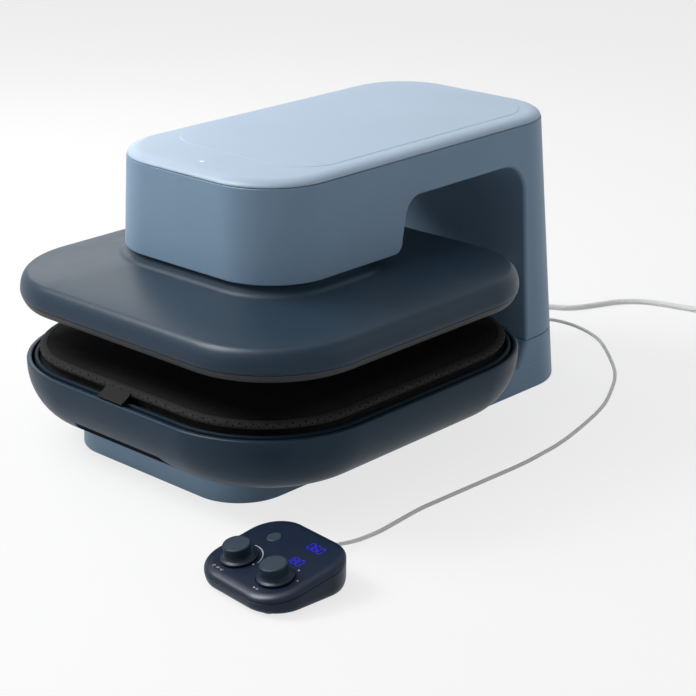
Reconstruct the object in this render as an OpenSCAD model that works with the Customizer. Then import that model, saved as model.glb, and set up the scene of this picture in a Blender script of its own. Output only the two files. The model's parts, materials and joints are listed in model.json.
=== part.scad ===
// Flat heat press with a hinged head, a motor-driven upper platen and a cabled control pod.
// Millimetres. X to the right seen from the front, Y to the back, Z up.
// The origin lies on the floor under the press, on its plane of symmetry.

/* [Body] */
// half width of the body at the floor
body_half = 142; // [120:1:160]
// inward lean of the body walls per mm of height
body_draft = 0.054; // [0:0.002:0.1]
// wall thickness of the shells
wall = 3; // [2:0.5:5]
// height of the split between base and head on the column
split_z = 60; // [45:1:80]
// front face of the column
column_front = 254; // [240:1:270]
// upper edge of the head shell
head_top = 305.3; // [295:0.1:315]
// height of the head block, and of the arm over the side opening
head_depth = 95.9; // [90:0.1:100]
arm_depth = 41.3; // [38:0.1:46]
// height of the top cover above the head shell
cover_rise = 7.7; // [6:0.1:12]

/* [Lower platen] */
// half width of the tray at its rim
tray_half = 215; // [190:1:240]
// front and back of the rim
tray_front = -230.8;
tray_back = 217.4;
// corner radius of the rim in plan
tray_corner = 126; // [60:1:150]
// height of the rim and of the flat underside
tray_rim = 91.6; // [80:0.2:100]
tray_floor = 31; // [25:0.5:40]
// top of the pressing mat
mat_top = 104.8; // [98:0.2:112]

/* [Upper platen] */
// half width at the widest level
platen_half = 219; // [190:1:240]
platen_front = -227;
platen_back = 197;
platen_corner = 110; // [60:1:140]
platen_rear_corner = 98; // [60:1:140]
// distance of the working face below the head block
heat_drop = 60.4; // [56:0.2:64]
// margin between the edge of the platen and the heat plate, at the sides and at front and back
heat_margin_x = 33; // [28:1:50]
heat_margin_y = 29; // [26:1:50]

/* [Drive] */
screw_d = 16; // [12:1:20]
rod_d = 12; // [8:1:16]
// tooth size, teeth of the nut gear and of the pinion
gear_module = 2; // [1:0.25:3]
gear_teeth = 36; // [24:1:48]
pinion_teeth = 12; // [10:1:20]
// running clearance per side of shafts that turn or slide
run_gap = 0.05; // [0.02:0.01:0.1]

/* [Hinge] */
// distance of the hinge axis behind the back wall
hinge_proud = 1.74; // [1.5:0.02:3]
hinge_pin_d = 8; // [6:0.5:12]
barrel_d = 16; // [12:0.5:20]

/* [Control pod] */
pod_x = 260.8;
pod_y = -268.8;
pod_turn = -5.6; // [-45:0.1:45]
pod_half = 58.8; // [50:0.2:65]
pod_half_deep = 52.8; // [45:0.2:65]
pod_corner = 34.5; // [20:0.5:40]
// height of the case joint at the middle, and its rise per mm towards the back
pod_joint = 20.4; // [16:0.1:28]
pod_slope = 0.168; // [0:0.002:0.2]
dial_x = 26; // [20:0.1:30]
dial_y = -20.3; // [-28:0.1:-18]
dial_d = 26.6; // [20:0.1:32]
dial_h = 15; // [10:0.5:20]
button_d = 14.4; // [8:0.2:18]
button_y = 20.7; // [16:0.1:28]

/* [Cords] */
lead_d = 7; // [5:0.5:9]
cable_d = 4; // [3:0.5:6]
lead_exit = [-40, 348, 25];
cable_exit = [40, 348, 24];

/* [Switch] */
// lean of the rocker at rest
rocker_tilt = 8; // [4:1:10]

/* [Hidden] */
$fn = 48;
corner_steps = 12;
head_corner = 72;
foot_corner = 56;
head_bottom = head_top - head_depth;
arch_top = head_top - arm_depth;
cover_top = head_top + cover_rise;
heat_face = head_bottom - heat_drop;
heat_half_x = platen_half - heat_margin_x;
heat_half_y = (platen_back - platen_front) / 2 - heat_margin_y;
screw_y = (platen_front + platen_back) / 2;
gear_distance = gear_module * (gear_teeth + pinion_teeth) / 2;
pinion_y = screw_y - gear_distance;
pod_tilt = atan(pod_slope);
gear_low = head_bottom + 12.9;
gear_high = head_bottom + 26.3;
frame_low = head_bottom + 4.6;
frame_mid = head_bottom + 34.6;
frame_plate = 4;
roof = arch_top + 4;
roof_plate = 6;
plate_top = heat_face + 12;
carrier_low = heat_face + 35;
carrier_top = carrier_low + 6;
seam = 0.5;
rod_places = [[-85, -100], [85, -100], [-85, 20], [85, 20]];
post_places = [for (y = [-130, -10, 110]) for (s = [-1, 1]) [s * 40, y]];
standoff_places = [for (y = [-80, 0, 80]) for (s = [-1, 1]) [s * 60, screw_y + y]];
hanger_places = [[-60, -85], [60, -85], [-60, 25], [60, 25]];

// floor route of the pod cable, from the pod to the back of the base
cable_route = [
    [258.1, -203.9, 9], [258.7, -197.9, 9], [259.6, -187, 8], [260.2, -171, 4.8], [260.4, -154, 2.3],
    [262, -128, 2], [260, -98, 2], [258, -66, 2], [259, -37, 2], [262, 22, 2], [265, 84, 2], [264, 119, 2],
    [261, 157, 2], [252, 205, 2], [237, 263, 2], [220, 304, 2], [189, 359, 2], [150, 403, 2],
    [112, 437, 3], [88, 447, 5.4], [72, 446, 9], [60, 437, 14], [50, 420, 20], [43, 397, 23.4],
    [40.6, 378, 24], [40, 368, 24], [40, 363, 24]
];
// floor route of the mains lead, from the back of the base to the coil
lead_route = [
    [-40, 380, 25], [-40, 389, 24.8], [-40.5, 404, 21.6], [-41.6, 424, 12.6], [-41, 444, 5.2],
    [-32, 470, 3.6], [-18, 488, 3.6], [-6, 497, 3.6], [9, 506, 3.6], [21, 521, 3.6], [33, 546, 3.6],
    [45, 571, 3.6], [64, 590, 3.6], [88, 601, 3.6], [110, 606, 3.7], [132, 608.6, 4.6],
    [154, 609, 5.2], [170, 609, 5.2]
];
coil_centre = [178, 655];
coil_outer = 46;
coil_pitch = 8.6;
coil_low = 5.2;
coil_layer = 8;
coil_leg = 1.875;
coil_climb = 0.5;

// Plan outlines

function body_w(z) = body_half - body_draft * z;
function body_back(z) = 348.5 - body_draft * z;
function head_front(z) = -140.3 + 0.0218 * z;
hinge_y = body_back(split_z) + hinge_proud;

// rounded outline with its own half width and corner radius at the front and at the back
function outline(wf, wb, yf, yb, rf, rb) = [
    for (q = [0:3])
        for (i = [0:corner_steps])
            let (
                a = q * 90 + i * 90 / corner_steps,
                r = q < 2 ? rb : rf,
                w = q < 2 ? wb : wf,
                cx = (q == 0 || q == 3) ? w - r : r - w,
                cy = q < 2 ? yb - r : yf + r
            )
            [cx + r * cos(a), cy + r * sin(a)]
];

// one level of a stack: outline moved inwards, at a height that may rise along Y
function level(o, inset, z, slope = 0) =
    [for (p = outline(o[0] - inset, o[1] - inset, o[2] + inset, o[3] - inset,
        max(o[4] - inset, 2), max(o[5] - inset, 2))) [p[0], p[1], z + slope * p[1]]];

// closed solid through a stack of levels with equal point counts
module stack(levels) {
    n = len(levels[0]);
    m = len(levels);
    points = [for (l = levels) for (p = l) p];
    sides = [
        for (k = [0:m - 2])
            for (i = [0:n - 1])
                let (a = k * n + i, b = k * n + (i + 1) % n)
                each [[a, a + n, b + n], [a, b + n, b]]
    ];
    bottom = [for (i = [1:n - 2]) [0, i, i + 1]];
    top = [for (i = [1:n - 2]) [(m - 1) * n, (m - 1) * n + i + 1, (m - 1) * n + i]];
    polyhedron(points, concat(bottom, sides, top));
}

tray_o = [tray_half, tray_half, tray_front, tray_back, tray_corner, tray_corner];
platen_o = [platen_half, platen_half, platen_front, platen_back, platen_corner, platen_rear_corner];
pod_o = [pod_half, pod_half, -pod_half_deep, pod_half_deep, pod_corner, pod_corner];

function body_o(z) = [body_w(z), body_w(z), head_front(z), body_back(z), head_corner, head_corner];
// the foot of the column runs forward in a soft curve to meet the low part of the base
stub_flare = 15;
stub_rise = split_z - tray_floor;
function stub_front(z) = column_front - stub_flare * pow(min(1, max(0, split_z - z) / stub_rise), 1.2);
function stub_o(z) = [body_w(z), body_w(z), stub_front(z), body_back(z), 6, head_corner];
stub_steps = [for (t = [0, 0.25, 0.5, 0.75]) tray_floor + t * stub_rise];
neck_top = head_bottom + 52.6;
neck_gap = 2.85;
neck_half = body_w(neck_top) - wall - neck_gap;
neck_o = [neck_half, neck_half, -127, 44, 60, 60];
cover_w = body_w(head_top);
cover_front = head_front(head_top);
cover_back = body_back(head_top);
cover_o = [cover_w, cover_w, cover_front, cover_back, head_corner + 2, head_corner + 2];
panel_o = [cover_w - 21.5, cover_w - 21.5, cover_front + 68.6, cover_back - 20, 48, 60];
function foot_o(z) = [136 - 0.04 * z, body_w(z), -191.3 + 0.03 * z, body_back(z), foot_corner, head_corner];

// side wall of the tray below its rim, as an inward distance
function tray_inset(z) = -3.4 + 44 * (1 - pow(max(0, 1 - pow(max(0, 85 - z) / 58, 1.9)), 1 / 1.9));

// Small helpers

module block(x0, x1, y0, y1, z0, z1) {
    translate([x0, y0, z0]) cube([x1 - x0, y1 - y0, z1 - z0]);
}

module rod(x, y, z0, z1, d) {
    translate([x, y, z0]) cylinder(d = d, h = z1 - z0);
}

module rod_x(x0, x1, y, z, d) {
    translate([x0, y, z]) rotate([0, 90, 0]) cylinder(d = d, h = x1 - x0);
}

module rod_y(x, z, y0, y1, d) {
    translate([x, y0, z]) rotate([-90, 0, 0]) cylinder(d = d, h = y1 - y0);
}

module slab(o, inset, z0, z1) {
    translate([0, 0, z0]) linear_extrude(z1 - z0)
        polygon([for (p = level(o, inset, 0)) [p[0], p[1]]]);
}

module in_pod() {
    translate([pod_x, pod_y, 0]) rotate([0, 0, pod_turn]) children();
}

// frame on the sloping top of the pod, with its origin on that face
module on_pod(x, y) {
    in_pod() translate([x, y, pod_joint + 6 + pod_slope * y]) rotate([pod_tilt, 0, 0]) children();
}

// Tubes along a route

function unit(v) = v / norm(v);
function spline(a, b, c, d, t) =
    0.5 * (2 * b + (c - a) * t + (2 * a - 5 * b + 4 * c - d) * t * t + (3 * b - a - 3 * c + d) * t * t * t);

// points along a route, about one every step mm
function smooth(r, step) = let (n = len(r)) concat(
    [for (i = [0:n - 2])
        let (
            a = i > 0 ? r[i - 1] : 2 * r[0] - r[1],
            d = i < n - 2 ? r[i + 2] : 2 * r[n - 1] - r[n - 2],
            m = max(1, round(norm(r[i + 1] - r[i]) / step))
        )
        for (k = [0:m - 1]) spline(a, r[i], r[i + 1], d, k / m)],
    [r[n - 1]]
);

module tube(path, d, sides) {
    n = len(path);
    points = [
        for (i = [0:n - 1])
            let (
                t = unit(path[min(i + 1, n - 1)] - path[max(i - 1, 0)]),
                u = unit(cross([0, 0, 1], t)),
                v = cross(t, u)
            )
            for (k = [0:sides - 1])
                let (a = (k + 0.5) * 360 / sides)
                path[i] + d / 2 * (cos(a) * u + sin(a) * v)
    ];
    skin = [
        for (i = [0:n - 2])
            for (k = [0:sides - 1])
                let (a = i * sides + k, b = i * sides + (k + 1) % sides)
                each [[a, a + sides, b + sides], [a, b + sides, b]]
    ];
    start = [for (k = [1:sides - 2]) [0, k, k + 1]];
    end = [for (k = [1:sides - 2]) [(n - 1) * sides, (n - 1) * sides + k + 1, (n - 1) * sides + k]];
    polyhedron(points, concat(start, skin, end));
}

function ease(t) = t * t * (3 - 2 * t);
coil_turns = 2 * coil_leg + coil_climb;
coil_inner = coil_outer - coil_pitch * coil_leg;
function coil_r(t) =
    t < coil_leg ? coil_outer - coil_pitch * t
    : t < coil_leg + coil_climb ? coil_inner
    : coil_inner + coil_pitch * (t - coil_leg - coil_climb);
function coil_z(t) =
    coil_low + coil_layer * ease(max(0, min(1, (t - coil_leg) / coil_climb)));
function coil_point(t) =
    [coil_centre[0] + coil_r(t) * sin(360 * t), coil_centre[1] - coil_r(t) * cos(360 * t), coil_z(t)];
coil_path = concat(
    [coil_point(0) - [8, 0, 0]],
    [for (i = [0:round(24 * coil_turns)]) coil_point(i / 24)],
    [for (k = [1:4]) coil_point(coil_turns) + [0, 8 * k, 0]]
);
coil_gap = min([
    for (i = [0:len(coil_path) - 13])
        for (j = [i + 12:len(coil_path) - 1]) norm(coil_path[i] - coil_path[j])
]) - lead_d;
echo(coil_gap = coil_gap);

// Gear outlines

function inv(a) = tan(a) - a * PI / 180;
function flank(rp, rb, half, r) = half + (inv(20) - inv(acos(min(1, rb / r)))) * 180 / PI;

// toothed outline whose teeth are thinned so that neighbouring flanks keep apart
module toothed(teeth, thin) {
    rp = gear_module * teeth / 2;
    rb = rp * cos(20);
    tip = rp + 0.8 * gear_module;
    root = rp - 1.2 * gear_module;
    half = (PI * gear_module / 2 - thin) / 2 / rp * 180 / PI;
    foot = max(rb, root);
    radii = [for (i = [0:4]) foot + (tip - foot) * i / 4];
    polygon([
        for (k = [0:teeth - 1])
            let (c = k * 360 / teeth)
            each concat(
                [root * [cos(c - flank(rp, rb, half, foot)), sin(c - flank(rp, rb, half, foot))]],
                [for (r = radii) r * [cos(c - flank(rp, rb, half, r)), sin(c - flank(rp, rb, half, r))]],
                [for (i = [4:-1:0])
                    let (turn = c + flank(rp, rb, half, radii[i])) radii[i] * [cos(turn), sin(turn)]],
                [root * [cos(c + flank(rp, rb, half, foot)), sin(c + flank(rp, rb, half, foot))]]
            )
    ]);
}

// Base

module rubber_feet() {
    color("#222325")
        for (y = [-140, 0, 300]) block(-95, 95, y - 10, y + 10, 0, 3);
}

module base_plate() {
    color("#8d9298")
        slab(foot_o(4), wall + 0.4, 3, 5);
}

module base_shell() {
    color("#7d93ab")
        difference() {
            union() {
                stack([level(foot_o(1), 1.2, 0.8), level(foot_o(3), 0, 2.6),
                    level(foot_o(tray_floor), 0, tray_floor)]);
                stack(concat([level(stub_o(1), 1.2, 0.8), level(stub_o(3), 0, 2.6)],
                    [for (z = stub_steps) level(stub_o(z), 0, z)],
                    [level(stub_o(split_z), 0, split_z - 0.3)]));
            }
            stack([level(foot_o(0), wall, 0), level(foot_o(5), wall, 5),
                level(foot_o(tray_floor), wall, tray_floor - wall)]);
            stack(concat([level(stub_o(0), wall, 0), level(stub_o(5), wall, 5)],
                [for (z = stub_steps) level(stub_o(z), wall, z)],
                [level(stub_o(split_z), wall, split_z + 2)]));
            for (p = post_places) rod(p[0], p[1], 20, 40, 27);
            block(-64, 64, 336, 360, 48, split_z + 2);
            rod_y(lead_exit[0], lead_exit[2], 335, 360, 14);
            rod_y(cable_exit[0], cable_exit[2], 335, 360, 12);
            block(-10, 10, 335, 360, 14, 38);
        }
}

module base_frame() {
    color("#9aa0a6")
        difference() {
            union() {
                block(-60, 60, -160, 334, 5, 8);
                for (s = [-1, 1]) block(s * 58 - 2, s * 58 + 2, -160, 334, 8, 27);
                block(-60, 60, 330, 334, 8, 50);
            }
            rod_y(lead_exit[0], lead_exit[2], 325, 340, 16);
            rod_y(cable_exit[0], cable_exit[2], 325, 340, 16);
            block(-12, 12, 325, 340, 12, 40);
        }
}

module platform_posts() {
    color("#9aa0a6")
        for (p = post_places) rod(p[0], p[1], 8, 74, 26);
}

module finger_notch() {
    translate([0, -206, 0]) rotate([90, 0, 0]) linear_extrude(40)
        polygon([[-84, 20], [66, 20], [66, 35], [53, 46.2], [-75, 46.2]]);
}

module lower_tray() {
    outer = [for (z = [tray_floor, 33, 36, 40, 46, 53, 61, 70, 79, 86, 89.6])
        level(tray_o, tray_inset(z), z)];
    inner = [for (z = [tray_floor + wall, 37, 41, 47, 54, 61, 70, 79, 86])
        level(tray_o, tray_inset(z) + wall + max(0, 40 - z) * 0.5, z)];
    color("#2c3440")
        difference() {
            stack(concat(outer, [level(tray_o, 0, tray_rim)]));
            difference() {
                stack(concat(inner, [level(tray_o, 2.4, tray_rim - 2), level(tray_o, 2, tray_rim + 1)]));
                block(-96, 82, -240, -196, 20, 50);
            }
            finger_notch();
            for (p = post_places) rod(p[0], p[1], 20, 50, 27);
        }
}

module platform_bezel() {
    color("#2c3440")
        difference() {
            stack([level(tray_o, 8, 74), level(tray_o, 5.2, 77), level(tray_o, 5, 90),
                level(tray_o, 5.6, 92.2), level(tray_o, 6.8, 93)]);
            stack([level(tray_o, 9.8, 78), level(tray_o, 9.8, 91.4), level(tray_o, 8.8, 92.8),
                level(tray_o, 8.2, 94)]);
        }
}

module support_plate() {
    color("#a9adb1")
        slab(tray_o, 10, 78, 88);
}

module mat_core() {
    color("#b9b2a6")
        stack([level(tray_o, 12.8, 88), level(tray_o, 12.8, 100), level(tray_o, 16, mat_top - 1.5)]);
}

module pressing_mat() {
    color("#1b1b1d")
        difference() {
            stack([level(tray_o, 11, 88), level(tray_o, 10.4, 92), level(tray_o, 10.4, 100),
                level(tray_o, 11.6, 103), level(tray_o, 14.5, mat_top)]);
            stack([level(tray_o, 12.6, 87), level(tray_o, 12.6, 100), level(tray_o, 15.9, mat_top - 1.5)]);
        }
}

// woven tab sewn to the front edge of the mat, lying over the rim
module mat_tab() {
    color("#26272a")
        translate([-4, 0, 0]) rotate([90, 0, 90]) linear_extrude(36, center = true)
            polygon([[-220.4, 99.6], [-220.4, 101], [-233.2, 94.4], [-233.2, 93]]);
}

module power_board() {
    color("#2f6b45")
        union() {
            block(-48, 48, 190, 300, 12, 13.6);
            block(-40, -10, 200, 240, 13.6, 26);
            block(4, 30, 205, 225, 13.6, 24);
            for (x = [12, 30]) rod(x, 260, 13.6, 26, 16);
            for (x = [-44, 44]) for (y = [194, 296]) rod(x, y, 8, 12, 6);
        }
}

module hinge_base_leaf() {
    color("#8d9298")
        difference() {
            union() {
                block(-60, 60, 334, 338, 40, 50);
                for (x = [-61, -20, 45]) block(x, x + (x == -20 ? 40 : 16), 334, hinge_y, 50, 56);
                for (x = [-61, -20, 45]) rod_x(x, x + (x == -20 ? 40 : 16), hinge_y, split_z, barrel_d);
            }
            rod_x(-70, 70, hinge_y, split_z, hinge_pin_d);
        }
}

module hinge_pin() {
    color("#c3c7cb")
        rod_x(-62, 62, hinge_y, split_z, hinge_pin_d);
}

module switch_frame() {
    color("#1c1d1f")
        difference() {
            union() {
                block(-12, 12, 348, 350, 12, 40);
                block(-9.6, 9.6, 336, 348, 14.4, 37.6);
            }
            block(-7.4, 7.4, 339, 352, 16.2, 35.8);
            rod_x(-12, 12, 343, 26, 3 + 2 * run_gap);
        }
}

module power_rocker() {
    color("#2b2c2f")
        translate([0, 343, 26]) rotate([rocker_tilt, 0, 0]) {
            rod_x(-8.6, 8.6, 0, 0, 3);
            rotate([90, 0, 90]) linear_extrude(14, center = true)
                polygon([[-2, -5], [2, -6.5], [5.6, -8.4], [6.4, -8.4], [5, 0], [6.4, 8.4], [5.6, 8.4],
                    [2, 6.5], [-2, 5]]);
        }
}

module lead_gland() {
    color("#1f2022")
        translate([lead_exit[0], 340, lead_exit[2]]) rotate([-90, 0, 0])
            rotate_extrude()
                polygon([[0, 0.5], [8, 0.5], [8, 3.6], [6.9, 3.6], [6.9, 7.8], [8.6, 7.8], [8.6, 10],
                    [6.4, 12.5], [4.3, 40], [0, 40]]);
}

module cable_gland() {
    color("#1f2022")
        translate([cable_exit[0], 340, cable_exit[2]]) rotate([-90, 0, 0])
            rotate_extrude()
                polygon([[0, 0.5], [7, 0.5], [7, 3.6], [5.9, 3.6], [5.9, 7.8], [7.4, 7.8], [7.4, 10],
                    [4.2, 12.5], [2.8, 23], [0, 23]]);
}

// Head

// side outline of the head, arm and column; the inner one is moved inwards and left open below
module side_profile(d) {
    low = d > 0 ? -10 : 0;
    rear_r = 33;
    front_r = 24;
    rear = [column_front - rear_r, arch_top - rear_r];
    front = [58.6 + front_r, arch_top - front_r];
    polygon(concat(
        [[column_front + d, split_z + 0.3 + low]],
        [for (a = [0:9:90]) rear + (rear_r + d) * [cos(a), sin(a)]],
        [for (a = [90:9:171]) front + (front_r + d) * [cos(a), sin(a)]],
        d > 0 ? [[50, head_bottom + 7.6], [50, head_bottom + low]]
        : [for (a = [0:15:90]) [53 - 13 * (1 - cos(a)), head_bottom + 12 * (1 - sin(a))]],
        [[-200, head_bottom + low], [-200, head_top + 55], [400, head_top + 55], [400, split_z + 0.3 + low]]
    ));
}

module across(d) {
    rotate([90, 0, 90]) linear_extrude(400, center = true) side_profile(d);
}

module head_shell() {
    color("#7d93ab")
        difference() {
            intersection() {
                stack([level(body_o(split_z), 0, split_z), level(body_o(head_top), 0, head_top)]);
                across(0);
            }
            intersection() {
                stack([level(body_o(50), wall, 50), level(body_o(head_top + 5), wall, head_top + 5)]);
                across(wall);
            }
            block(-64, 64, 330, 360, split_z - 2, split_z + 19);
        }
}

// ring that closes the underside of the head block around the platen neck
module head_floor() {
    z0 = head_bottom + 0.4;
    z1 = z0 + 3;
    color("#7d93ab")
        difference() {
            stack([for (z = [z0, z1])
                level([body_w(z), body_w(z), head_front(z), 53, head_corner, wall + 2], wall, z)]);
            slab(neck_o, -2, z0 - 2, z1 + 2);
        }
}

module top_cover() {
    z0 = head_top + seam;
    h = cover_top - z0;
    color("#aebfd0")
        difference() {
            stack([level(cover_o, 0, z0), level(cover_o, 0.4, z0 + 0.28 * h),
                level(cover_o, 2.2, z0 + 0.58 * h), level(cover_o, 6.2, z0 + 0.86 * h),
                level(cover_o, 14, cover_top)]);
            stack([level(cover_o, 4, z0 - 1), level(cover_o, 6, z0 + 0.28 * h),
                level(cover_o, 12, cover_ceiling)]);
            slab(panel_o, -0.25, cover_top - panel_t, cover_top + 1);
            rod(0, light_y, cover_ceiling - 2, cover_top + 2, 5.2);
        }
}

panel_t = 1.4;
light_y = cover_front + 29.6;
// underside of the cover's flat top
cover_ceiling = head_top + seam + 0.51 * (cover_rise - seam);

module top_panel() {
    color("#b6c6d6")
        slab(panel_o, 0, cover_top - panel_t, cover_top);
}

module status_light() {
    color("#cdeee2")
        union() {
            rod(0, light_y, cover_ceiling - 1.5, cover_top + 0.2, 4.8);
            rod(0, light_y, cover_ceiling - 1.5, cover_ceiling, 8);
        }
}

module head_frame() {
    color("#9aa0a6")
        difference() {
            union() {
                slab([98, 98, -118, 326, 60, 66], 0, roof, roof + roof_plate);
                for (s = [-1, 1]) block(s * 75 - 3, s * 75 + 3, 262, 326, split_z + 6, roof);
                block(-78, 78, 320, 326, split_z + 6, roof);
            }
            rod(0, screw_y, roof - 8, roof + 12, 24);
            rod(0, pinion_y, roof - 8, roof + 12, 43);
            for (p = rod_places) rod(p[0], p[1], roof - 8, roof + 12, 15);
        }
}

module hinge_head_leaf() {
    color("#8d9298")
        difference() {
            union() {
                block(-58, 58, 326, 331, split_z + 6, split_z + 60);
                for (x = [-44.5, 20.5]) block(x, x + 24, 326, hinge_y, split_z + 6, split_z + 12);
                for (x = [-44.5, 20.5]) block(x, x + 24, hinge_y - 7, hinge_y, split_z, split_z + 12);
                for (x = [-44.5, 20.5]) rod_x(x, x + 24, hinge_y, split_z, barrel_d);
            }
            rod_x(-70, 70, hinge_y, split_z, hinge_pin_d + 2 * run_gap);
        }
}

module gear_frame() {
    color("#9aa0a6")
        difference() {
            union() {
                for (z = [frame_low, frame_mid]) block(-70, 70, -95, 35, z, z + frame_plate);
                for (p = hanger_places) rod(p[0], p[1], frame_low, roof, 12);
            }
            rod(0, screw_y, frame_low - 4, frame_mid + 6, 34);
            rod(0, pinion_y, frame_low - 4, frame_low + 6, 8 + 2 * run_gap);
            rod(0, pinion_y, frame_mid - 4, frame_mid + 6, 12);
        }
}

module thrust_bearings() {
    color("#c3c7cb")
        for (z = [[frame_low + frame_plate, gear_low - 0.3], [gear_high + 0.3, frame_mid]])
            difference() {
                rod(0, screw_y, z[0], z[1], 56);
                rod(0, screw_y, z[0] - 1, z[1] + 1, 28.8);
            }
}

module guide_bushings() {
    color("#b08d57")
        for (p = rod_places)
            difference() {
                union() {
                    rod(p[0], p[1], roof - 34, roof, 22);
                    rod(p[0], p[1], roof - 3, roof, 30);
                }
                rod(p[0], p[1], roof - 38, roof + 2, rod_d + 2 * run_gap);
            }
}

module drive_motor() {
    color("#3a3d42")
        difference() {
            union() {
                rod(0, pinion_y, frame_mid + frame_plate, head_top - 7.3, 42);
                rod(0, pinion_y, head_top - 7.3, head_top - 4.3, 16);
            }
            rod(0, pinion_y, frame_mid, frame_mid + 18, 8 + 2 * run_gap);
        }
}

module motor_pinion() {
    color("#c3a45a")
        union() {
            translate([0, pinion_y, gear_low]) rotate([0, 0, 180 / pinion_teeth])
                linear_extrude(gear_high - gear_low) toothed(pinion_teeth, 0.7);
            rod(0, pinion_y, frame_low + 0.4, frame_mid + 16, 8);
        }
}

module nut_gear() {
    color("#c3a45a")
        difference() {
            union() {
                translate([0, screw_y, gear_low])
                    linear_extrude(gear_high - gear_low) toothed(gear_teeth, 0.7);
                rod(0, screw_y, gear_low - 4, gear_high + 8, 28);
            }
            rod(0, screw_y, gear_low - 12, gear_high + 14, screw_d + 2 * run_gap);
        }
}

// Upper platen

// levels of the platen are heights above its working face
function above_face(o, inset, h) = level(o, inset, heat_face + h);
shoulder_o = [neck_half + 15, neck_half + 15, -142, 60, 72, 72];
cover_join = 52;
skirt_top = 9.8;

module platen_cover() {
    color("#2c3440")
        difference() {
            stack([above_face(platen_o, 1, skirt_top), above_face(platen_o, 0, 12.5),
                above_face(platen_o, 0.4, 19), above_face(platen_o, 2.2, 26),
                above_face(platen_o, 5.4, 31), above_face(platen_o, 10, 34), above_face(shoulder_o, 0, 49.2),
                above_face(neck_o, -10.4, cover_join)]);
            stack([above_face(platen_o, 7.2, 1), above_face(platen_o, 3.6, 9), above_face(platen_o, 3.4, 19),
                above_face(platen_o, 6, 25), above_face(platen_o, 11, 30), above_face(shoulder_o, 4, 45.6),
                above_face(neck_o, 3, cover_join + 1)]);
        }
}

// upright shroud that stands on the platen cover and runs up into the head
module platen_neck() {
    color("#2c3440")
        difference() {
            stack([above_face(neck_o, -10.4, cover_join), above_face(neck_o, -5.4, 54.4),
                above_face(neck_o, -2.2, 57.6), above_face(neck_o, 0, 62), level(neck_o, 0, neck_top)]);
            stack([above_face(neck_o, 3, cover_join - 1), above_face(neck_o, 2.5, 60),
                level(neck_o, 2.5, neck_top + 2)]);
        }
}

heat_o = [heat_half_x, heat_half_x, screw_y - heat_half_y, screw_y + heat_half_y, 84, 84];

boss_inset_x = 23;
boss_inset_y = 15;
boss_places = concat(
    [for (s = [-1, 1]) for (y = [-60, 30]) [s * (platen_half - boss_inset_x), y]],
    [for (x = [-60, 60]) for (y = [platen_front + boss_inset_y, platen_back - boss_inset_y]) [x, y]]
);

module platen_skirt() {
    color("#2c3440")
        difference() {
            union() {
                difference() {
                    stack([above_face(platen_o, 6.2, 1), above_face(platen_o, 4.2, 4.4),
                        above_face(platen_o, 1.8, 7.5), above_face(platen_o, 1, skirt_top)]);
                    stack([above_face(platen_o, 8, 4), above_face(platen_o, 4.8, 7.5),
                        above_face(platen_o, 3.7, skirt_top + 1)]);
                }
                for (p = boss_places) rod(p[0], p[1], heat_face + 4, heat_face + 27, 9);
            }
            slab(heat_o, -1.5, heat_face - 9, heat_face + 11);
        }
}

module heat_plate() {
    color("#b9bcbf")
        stack([level(heat_o, 1.2, heat_face), level(heat_o, 0, heat_face + 1.4),
            level(heat_o, 0, plate_top)]);
}

module heating_element() {
    color("#7c7f84")
        translate([0, screw_y, plate_top + 4.1]) {
            for (k = [0:3]) rod_x(-110, 110, 40 * (2 * k - 3), 0, 8);
            for (k = [0:2])
                translate([k % 2 == 0 ? 110 : -110, 80 * (k - 1), 0]) rotate([0, 0, k % 2 == 0 ? -90 : 90])
                    rotate_extrude(angle = 180) translate([40, 0]) circle(d = 8, $fn = 24);
        }
}

module thermal_cutout() {
    color("#d8d2c2")
        union() {
            block(-14, 14, screw_y - 8, screw_y + 8, plate_top, plate_top + 5);
            rod(0, screw_y, plate_top + 5, plate_top + 8.5, 12);
        }
}

module insulation_sheet() {
    color("#d9d4c4")
        difference() {
            slab(heat_o, 3, plate_top + 9.5, plate_top + 16);
            for (p = standoff_places) rod(p[0], p[1], plate_top + 4, plate_top + 19, 18);
        }
}

module standoffs() {
    color("#9aa0a6")
        for (p = standoff_places) rod(p[0], p[1], plate_top, carrier_low, 16);
}

module carrier_plate() {
    color("#9aa0a6")
        block(-114, 114, -118, 88, carrier_low, carrier_top);
}

module lead_screw() {
    color("#c3c7cb")
        union() {
            rod(0, screw_y, carrier_top, carrier_top + 6, 48);
            rod(0, screw_y, carrier_top + 6, head_top - 3.3, screw_d);
        }
}

module guide_rods() {
    color("#c3c7cb")
        for (p = rod_places) {
            rod(p[0], p[1], carrier_top, carrier_top + 4, 26);
            rod(p[0], p[1], carrier_top + 4, head_top - 4.3, rod_d);
        }
}

// Control pod

module pod_feet() {
    color("#222325")
        in_pod()
            for (x = [-36, 36]) for (y = [-36, 36]) rod(x, y, 0, 1.5, 14);
}

module pod_base() {
    color("#262d38")
        in_pod()
            difference() {
                stack([level(pod_o, 2, 1.5), level(pod_o, 0, 4),
                    level(pod_o, 0, pod_joint - 0.2, pod_slope)]);
                stack([level(pod_o, 3.2, 3.5), level(pod_o, 2.4, 6),
                    level(pod_o, 2.4, pod_joint + 2, pod_slope)]);
                rod_y(-9, 9, 48, 60, 8.4);
            }
}

// level of the pod at a height above its sloping case joint
function on_slope(inset, h) = level(pod_o, inset, pod_joint + h, pod_slope);

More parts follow.
